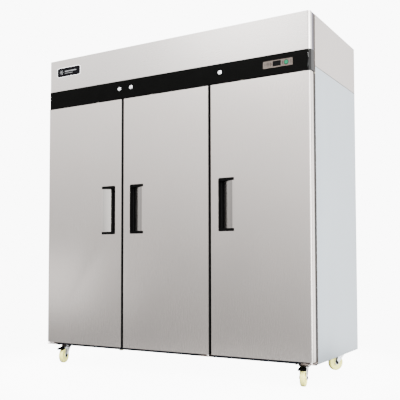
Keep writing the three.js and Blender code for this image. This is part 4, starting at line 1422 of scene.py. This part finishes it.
def make_condenser():
    low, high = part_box("condenser")
    fins = bmesh.new()
    count = 72
    for step in range(count):
        x = low.x + 16 * MM + (high.x - low.x - 32 * MM) * step / (count - 1)
        add_box(
            fins, (x - 0.3 * MM, low.y + 6 * MM, low.z + 6 * MM),
            (x + 0.3 * MM, high.y - 6 * MM, high.z - 6 * MM),
        )
    piece("condenser_fins", fins, "cabinet", "fins", ["condenser"])
    ends = bmesh.new()
    for x0, x1 in ((low.x + 9 * MM, low.x + 11 * MM), (high.x - 11 * MM, high.x - 9 * MM)):
        add_box(ends, (x0, low.y, low.z), (x1, high.y, high.z))
    for z0, z1 in ((low.z, low.z + 2 * MM), (high.z - 2 * MM, high.z)):
        add_box(ends, (low.x + 9 * MM, low.y, z0), (high.x - 9 * MM, high.y, z1))
    piece("condenser_frame", ends, "cabinet", "galvanised", bevel=0.4 * MM, segments=2)
    pipes = bmesh.new()
    rows = 9
    pitch = (high.z - low.z - 40 * MM) / (rows - 1)
    for y in (low.y + 22 * MM, high.y - 22 * MM):
        for row in range(rows):
            z = low.z + 20 * MM + row * pitch
            add_rod(pipes, (low.x + 8 * MM, y, z), (high.x - 8 * MM, y, z), 4.5 * MM, 12)
            if row < rows - 1:
                end_x, sign = (high.x - 8 * MM, 1) if row % 2 == 0 else (low.x + 8 * MM, -1)
                bend = bmesh.new()
                place = Matrix.Translation((0, 0, pitch / 2)) @ Matrix.Rotation(math.radians(90), 4, "Y")
                ring = bmesh.ops.create_circle(bend, segments=12, radius=4.5 * MM, matrix=place)["verts"]
                edges = list({edge for vert in ring for edge in vert.link_edges})
                bmesh.ops.spin(
                    bend, geom=ring + edges, cent=(0, 0, 0), axis=(0, sign, 0), angle=math.pi, steps=10,
                )
                bend.transform(
                    Matrix.Translation((end_x, y, z + pitch / 2)) @ Matrix.Diagonal((8 / 15, 1.0, 1.0, 1.0))
                )
                face_outwards(bend)
                take_in(pipes, bend)
    piece("condenser_pipes", pipes, "cabinet", "copper", sharp=50.0)

    fan_low, fan_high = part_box("condenser_fan")
    centre = (fan_low + fan_high) / 2
    fan_rotor("condenser_fan", "condenser_fan", 5, "fins", "Y")
    shroud = bmesh.new()
    facing = running_back((centre.x, 0, centre.z))
    ring = [
        (112.5 * MM, fan_low.y - 4 * MM), (140 * MM, high.y + 2 * MM), (141.5 * MM, high.y + 3 * MM),
        (114 * MM, fan_low.y - 3 * MM), (114 * MM, fan_high.y + 6 * MM), (112.5 * MM, fan_high.y + 6 * MM),
        (112.5 * MM, fan_low.y - 4 * MM),
    ]
    add_turned(shroud, ring, facing, 48)
    piece("condenser_shroud", shroud, "cabinet", "galvanised")
    cage = bmesh.new()
    guard(
        cage, Vector((centre.x, fan_high.y + 7.5 * MM, centre.z)), "Y",
        [r * MM for r in (40, 62, 84, 106, 113)], 1,
    )
    piece("condenser_fan_guard", cage, "cabinet", "zinc")
    motor = bmesh.new()
    start = fan_high.y + 11 * MM
    add_turned(
        motor,
        [
            (0.0, start), (30 * MM, start), (34 * MM, start + 5 * MM), (34 * MM, start + 44 * MM),
            (29 * MM, start + 50 * MM), (0.0, start + 50 * MM),
        ],
        facing, 36,
    )
    piece("condenser_fan_motor", motor, "cabinet", "shell_black", sharp=50.0)


def make_piping():
    """Discharge, liquid and suction lines, a filter drier, and a wiring box beside the compressor."""
    comp_low, comp_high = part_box("compressor")
    comp = (comp_low + comp_high) / 2
    cond_low, cond_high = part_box("condenser")
    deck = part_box("deck_panel")[1].z
    left = cond_low.x
    tube(
        "discharge_line",
        [
            (comp.x - 40 * MM, comp.y - 70 * MM, deck + 130 * MM),
            (comp.x - 60 * MM, comp.y - 120 * MM, deck + 160 * MM),
            (left - 40 * MM, comp.y - 160 * MM, deck + 210 * MM),
            (left - 40 * MM, cond_high.y + 30 * MM, deck + 230 * MM),
            (left - 30 * MM, cond_high.y - 22 * MM, deck + 239 * MM),
            (left + 9 * MM, cond_high.y - 22 * MM, deck + 239 * MM),
        ],
        4.5 * MM, "cabinet", "copper",
    )
    tube(
        "liquid_line",
        [
            (left + 9 * MM, cond_low.y + 22 * MM, deck + 20 * MM),
            (left - 50 * MM, cond_low.y + 22 * MM, deck + 20 * MM),
            (left - 90 * MM, cond_low.y + 60 * MM, deck + 22 * MM),
            (left - 90 * MM, cond_high.y + 40 * MM, deck + 34 * MM),
            (left - 90 * MM, comp.y - 60 * MM, deck + 40 * MM),
        ],
        4 * MM, "cabinet", "copper",
    )
    drier = bmesh.new()
    facing = running_back((left - 90 * MM, comp.y - 62 * MM, deck + 40 * MM))
    add_turned(
        drier,
        [
            (0.0, 0.0), (5 * MM, 0.0), (6 * MM, 10 * MM), (17 * MM, 22 * MM), (17 * MM, 96 * MM),
            (6 * MM, 110 * MM), (5 * MM, 122 * MM), (0.0, 122 * MM),
        ],
        facing, 28,
    )
    piece("filter_drier", drier, "cabinet", "copper", sharp=50.0)
    tube(
        "capillary_line",
        [
            (left - 90 * MM, comp.y + 58 * MM, deck + 40 * MM),
            (left - 90 * MM, comp.y + 100 * MM, deck + 44 * MM),
            (left - 160 * MM, comp.y + 120 * MM, deck + 60 * MM), (0.0, comp.y + 60 * MM, deck + 40 * MM),
            (0.0, comp.y + 20 * MM, deck + 1 * MM),
        ],
        2 * MM, "cabinet", "copper",
    )
    tube(
        "suction_line",
        [
            (comp.x - 80 * MM, comp.y + 20 * MM, deck + 120 * MM),
            (comp.x - 130 * MM, comp.y + 30 * MM, deck + 122 * MM),
            (comp.x - 230 * MM, comp.y + 40 * MM, deck + 90 * MM),
            (30 * MM, comp.y + 20 * MM, deck + 60 * MM), (24 * MM, comp.y + 10 * MM, deck + 1 * MM),
        ],
        8 * MM, "cabinet", "gasket_rubber",
    )
    box = bmesh.new()
    low = Vector((-420 * MM, -300 * MM, deck + 1 * MM))
    high = Vector((-160 * MM, -120 * MM, deck + 130 * MM))
    add_box(box, low, high)
    piece("wiring_box", box, "cabinet", "galvanised", bevel=2 * MM)
    lid = bmesh.new()
    add_box(
        lid, (low.x - 2 * MM, low.y - 2 * MM, high.z), (high.x + 2 * MM, high.y + 2 * MM, high.z + 3 * MM)
    )
    for dx in (12 * MM, high.x - low.x - 12 * MM):
        for dy in (12 * MM, high.y - low.y - 12 * MM):
            spot = Vector((low.x + dx, low.y + dy, high.z + 3 * MM))
            add_rod(lid, spot, spot + Vector((0, 0, 2 * MM)), 4 * MM, 12)
    piece("wiring_box_lid", lid, "cabinet", "galvanised", bevel=0.6 * MM, segments=2)
    tube(
        "conduit",
        [
            (high.x, high.y - 40 * MM, deck + 60 * MM),
            (high.x + 80 * MM, high.y - 30 * MM, deck + 60 * MM), (0.05, 60 * MM, deck + 20 * MM),
            (comp.x - 200 * MM, comp.y + 90 * MM, deck + 30 * MM),
            (comp.x - 70 * MM, comp.y + 104 * MM, deck + 90 * MM),
            (comp.x - 34 * MM, comp.y + 104 * MM, deck + 96 * MM),
        ],
        7 * MM, "cabinet", "black_plastic",
    )
    tray = bmesh.new()
    add_box(tray, (-840 * MM, -60 * MM, deck + 2 * MM), (-480 * MM, 200 * MM, deck + 50 * MM))
    hollow = bmesh.new()
    add_box(hollow, (-838.6 * MM, -58.6 * MM, deck + 3.4 * MM), (-481.4 * MM, 198.6 * MM, deck + 60 * MM))
    piece(
        "condensate_tray", carved(tray, hollow), "cabinet", "galvanised", bevel=0.5 * MM,
        segments=2,
    )
    rails = bmesh.new()
    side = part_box("upper_panel_right")[0].x - 2 * MM
    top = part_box("back_panel")[1].z - 3 * MM
    for y, lean in (
        (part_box("back_panel")[0].y - 2 * MM, -1), (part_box("upper_panel_right")[0].y + 22 * MM, 1)
    ):
        ys = sorted((y, y + lean * 2 * MM))
        add_box(rails, (-side, ys[0], top - 32 * MM), (side, ys[1], top))
        ys = sorted((y, y + lean * 26 * MM))
        add_box(rails, (-side, ys[0], top - 2 * MM), (side, ys[1], top))
    piece("crown_rails", rails, "cabinet", "galvanised", bevel=0.4 * MM, segments=2)


# Back and underside


LOUVRE_COLUMNS = (-560 * MM, 0.0, 560 * MM)
LOUVRE_ROWS = 6
GROOVES = (-640 * MM, -320 * MM, 0.0, 320 * MM, 640 * MM)


def back_screw_places(low, high):
    margin = 16 * MM
    columns = [low.x + margin + (high.x - low.x - 2 * margin) * step / 8 for step in range(9)]
    heights = [low.z + margin + (high.z - low.z - 2 * margin) * step / 10 for step in range(11)]
    places = [(x, z) for x in columns for z in (heights[0], heights[-1])]
    return places + [(x, z) for x in (columns[0], columns[-1]) for z in heights[1:-1]]


def make_back():
    """A flat sheet with pressed grooves, sunk screws and louvres pressed inwards beside the machine parts."""
    low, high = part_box("back_panel")
    face = high.y
    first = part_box("deck_panel")[1].z + 70 * MM
    sheet = bmesh.new()
    add_box(sheet, low, high)
    cuts = bmesh.new()
    louvres = bmesh.new()
    for x in LOUVRE_COLUMNS:
        for row in range(LOUVRE_ROWS):
            z = first + row * 32 * MM
            add_box(cuts, (x - 210 * MM, low.y - 5 * MM, z), (x + 210 * MM, face + 5 * MM, z + 12 * MM))
            blade = bmesh.new()
            add_slab(
                blade,
                [
                    (x - 209 * MM, face - 0.4 * MM, z + 12 * MM), (x - 209 * MM, face - 9 * MM, z + 1 * MM),
                    (x - 209 * MM, face - 10 * MM, z + 1.8 * MM),
                    (x - 209 * MM, face - 1.6 * MM, z + 13 * MM),
                ],
                (418 * MM, 0, 0),
            )
            take_in(louvres, blade)
    for x in GROOVES:
        groove = bmesh.new()
        add_slab(
            groove,
            [(x - 7 * MM, face + 0.1 * MM, 220 * MM), (x - 3 * MM, face - 0.9 * MM, 220 * MM),
             (x + 3 * MM, face - 0.9 * MM, 220 * MM), (x + 7 * MM, face + 0.1 * MM, 220 * MM)],
            (0, 0, 1540 * MM),
        )
        take_in(cuts, groove)
    screws = bmesh.new()
    for x, z in back_screw_places(low, high):
        add_rod(cuts, (x, face - 0.9 * MM, z), (x, face + 1 * MM, z), 5 * MM, 16, 8 * MM)
        add_turned(
            screws,
            [
                (0.0, -1 * MM), (4.8 * MM, -1 * MM), (4.6 * MM, -0.4 * MM), (3 * MM, -0.1 * MM),
                (1.4 * MM, -0.1 * MM), (1.2 * MM, -0.8 * MM), (0.0, -0.8 * MM),
            ],
            running_back((x, face, z)), 16,
        )
    add_box(cuts, (-880 * MM, face - 0.8 * MM, 1560 * MM), (-760 * MM, face + 1 * MM, 1640 * MM))
    face_outwards(louvres)
    piece(
        "back_sheet", carved(sheet, cuts), "cabinet", "galvanised", ["back_panel"], sharp=4.0
    )
    piece("back_louvres", louvres, "cabinet", "galvanised", bevel=0.2 * MM, segments=2)
    piece("back_screws", screws, "cabinet", "zinc")
    plate = bmesh.new()
    add_box(plate, (-878 * MM, face - 0.9 * MM, 1562 * MM), (-762 * MM, face - 0.2 * MM, 1638 * MM))
    piece("back_blank_plate", plate, "cabinet", "fins", bevel=0.2 * MM, segments=2)


def make_underside():
    low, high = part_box("base_pan")
    pan = 127 * MM
    channels = bmesh.new()
    for y in (-200 * MM, 0.0, 200 * MM):
        part = bmesh.new()
        add_slab(
            part,
            [(low.x + 60 * MM, y - 26 * MM, pan), (low.x + 60 * MM, y - 18 * MM, pan - 9 * MM),
             (low.x + 60 * MM, y + 18 * MM, pan - 9 * MM), (low.x + 60 * MM, y + 26 * MM, pan)],
            (high.x - low.x - 120 * MM, 0, 0),
        )
        take_in(channels, part)
    face_outwards(channels)
    piece("base_channels", channels, "cabinet", "galvanised", bevel=1.2 * MM)
    drain = bmesh.new()
    profile = [
        (5 * MM, 0.0), (14 * MM, 0.0), (14 * MM, 3 * MM), (8 * MM, 3.6 * MM), (8 * MM, 14 * MM),
        (5 * MM, 14 * MM), (5 * MM, 0.0),
    ]
    add_turned(
        drain, profile, Matrix.Translation((0, 320 * MM, pan)) @ Matrix.Rotation(math.pi, 4, "X"), 24
    )
    piece("base_drain_outlet", drain, "cabinet", "black_plastic", sharp=50.0)


# Stage and light

FLOOR_RADIUS = 2.5
FLOOR_FADE = (1.1, 1.8)
FLOOR_GLOW = 10.0
BACKDROP = 12.0
SKY_AXIS = (0.35, 0.4, 0.9)
SKY_STRENGTH = 5.0
SKY = (
    (0.0, 0.2), (0.14, 0.3), (0.19, 0.5), (0.265, 1.1), (0.335, 2.05), (0.40, 2.9), (0.68, 4.3), (0.9, 3.6)
)


def make_stage():
    """A pale floor that fades into the pale surroundings."""
    finish = Finish("studio_floor").set(Metallic=0.0, Roughness=0.85)
    speckle = finish.noise((3.0, 3.0, 3.0), 2.0)
    finish.colour(speckle, (0.14, 0.14, 0.14), (0.16, 0.16, 0.16))
    pale = finish.nodes.new("ShaderNodeEmission")
    pale.inputs["Strength"].default_value = FLOOR_GLOW
    seen = finish.nodes.new("ShaderNodeLightPath")
    lift = finish.nodes.new("ShaderNodeMixShader")
    finish.links.new(seen.outputs["Is Camera Ray"], lift.inputs["Fac"])
    both = finish.nodes.new("ShaderNodeAddShader")
    finish.links.new(finish.shader.outputs["BSDF"], both.inputs[0])
    finish.links.new(pale.outputs["Emission"], both.inputs[1])
    finish.links.new(finish.shader.outputs["BSDF"], lift.inputs[1])
    finish.links.new(both.outputs["Shader"], lift.inputs[2])
    distance = finish.nodes.new("ShaderNodeVectorMath")
    distance.operation = "LENGTH"
    finish.links.new(finish.place, distance.inputs[0])
    fade = finish.nodes.new("ShaderNodeMapRange")
    fade.inputs["From Min"].default_value, fade.inputs["From Max"].default_value = FLOOR_FADE
    fade.interpolation_type = "SMOOTHSTEP"
    finish.links.new(distance.outputs["Value"], fade.inputs["Value"])
    clear = finish.nodes.new("ShaderNodeBsdfTransparent")
    mix = finish.nodes.new("ShaderNodeMixShader")
    finish.links.new(fade.outputs["Result"], mix.inputs["Fac"])
    finish.links.new(lift.outputs["Shader"], mix.inputs[1])
    finish.links.new(clear.outputs["BSDF"], mix.inputs[2])
    finish.links.new(mix.outputs["Shader"], finish.nodes["Material Output"].inputs["Surface"])
    bm = bmesh.new()
    bmesh.ops.create_circle(bm, cap_ends=True, segments=96, radius=FLOOR_RADIUS)
    mesh = bpy.data.meshes.new("studio_floor")
    bm.to_mesh(mesh)
    bm.free()
    mesh.materials.append(finish.material)
    floor = bpy.data.objects.new("studio_floor", mesh)
    bpy.context.scene.collection.objects.link(floor)


def make_world():
    """A broad sky, dim from the low front and bright from above and behind, with a white backdrop."""
    world = bpy.data.worlds.new("studio")
    bpy.context.scene.world = world
    world.use_nodes = True
    nodes, links = world.node_tree.nodes, world.node_tree.links
    direction = nodes.new("ShaderNodeTexCoord").outputs["Generated"]
    along = nodes.new("ShaderNodeVectorMath")
    along.operation = "DOT_PRODUCT"
    along.inputs[1].default_value = SKY_AXIS
    links.new(direction, along.inputs[0])
    share = nodes.new("ShaderNodeMapRange")
    share.inputs["From Min"].default_value = -1.0
    links.new(along.outputs["Value"], share.inputs["Value"])
    ramp = nodes.new("ShaderNodeValToRGB")
    ramp.color_ramp.interpolation = "B_SPLINE"
    stops = ramp.color_ramp.elements
    while len(stops) < len(SKY):
        stops.new(0.5)
    for stop, (place, level) in zip(stops, SKY):
        stop.position = place
        share_of_full = level / SKY_STRENGTH
        stop.color = (share_of_full, share_of_full, share_of_full, 1.0)
    links.new(share.outputs["Result"], ramp.inputs["Fac"])
    sky = nodes["Background"]
    sky.inputs["Strength"].default_value = SKY_STRENGTH
    links.new(ramp.outputs["Color"], sky.inputs["Color"])
    white = nodes.new("ShaderNodeBackground")
    white.inputs["Strength"].default_value = BACKDROP
    seen = nodes.new("ShaderNodeLightPath")
    mix = nodes.new("ShaderNodeMixShader")
    links.new(seen.outputs["Is Camera Ray"], mix.inputs["Fac"])
    links.new(sky.outputs["Background"], mix.inputs[1])
    links.new(white.outputs["Background"], mix.inputs[2])
    links.new(mix.outputs["Shader"], nodes["World Output"].inputs["Surface"])


def make_light():
    make_world()
    centre = Vector((0, 0, 1.1))
    for name, place, size, power in (
        ("front_softbox", (-1.6, -5.2, 4.3), (2.2, 1.4), 45),
        ("low_softbox", (-4.2, -3.6, 0.4), (1.4, 0.8), 6),
        ("top_softbox", (0.6, -2.2, 5.0), (4.5, 2.0), 330),
        ("corner_softbox", (4.9, -2.65, 1.7), (5.0, 4.4), 1000),
    ):
        data = bpy.data.lights.new(name, "AREA")
        data.shape = "RECTANGLE"
        data.size, data.size_y = size
        data.energy = power
        light = bpy.data.objects.new(name, data)
        light.location = place
        light.rotation_mode = "QUATERNION"
        light.rotation_quaternion = (centre - Vector(place)).to_track_quat("-Z", "Y")
        bpy.context.scene.collection.objects.link(light)


def finish_frame_nodes():
    """The CAD nodes that stay in view get the finish of their own material."""
    finish_of_slot = {"aluminium_fins": "fins"}
    slots = {part["node"]: part["material_slot"] for part in frame["record"]["subparts"]}
    for node, obj in frame["nodes"].items():
        slot = slots[node]
        material = FINISHES[finish_of_slot.get(slot, slot)]
        if not obj.data.materials:
            obj.data.materials.append(material)
        for item in obj.material_slots:
            item.material = material


make_camera()
FINISHES = make_finishes()
finish_frame_nodes()
make_doors()
make_sides()
make_fascia()
make_strip()
make_base_strip()
for lock in DOORS:
    make_lock(lock)
make_badge()
make_controls()
make_door_switches()
make_casters()
make_shelves()
make_evaporator()
make_compressor()
make_condenser()
make_piping()
make_back()
make_underside()
make_stage()
make_light()
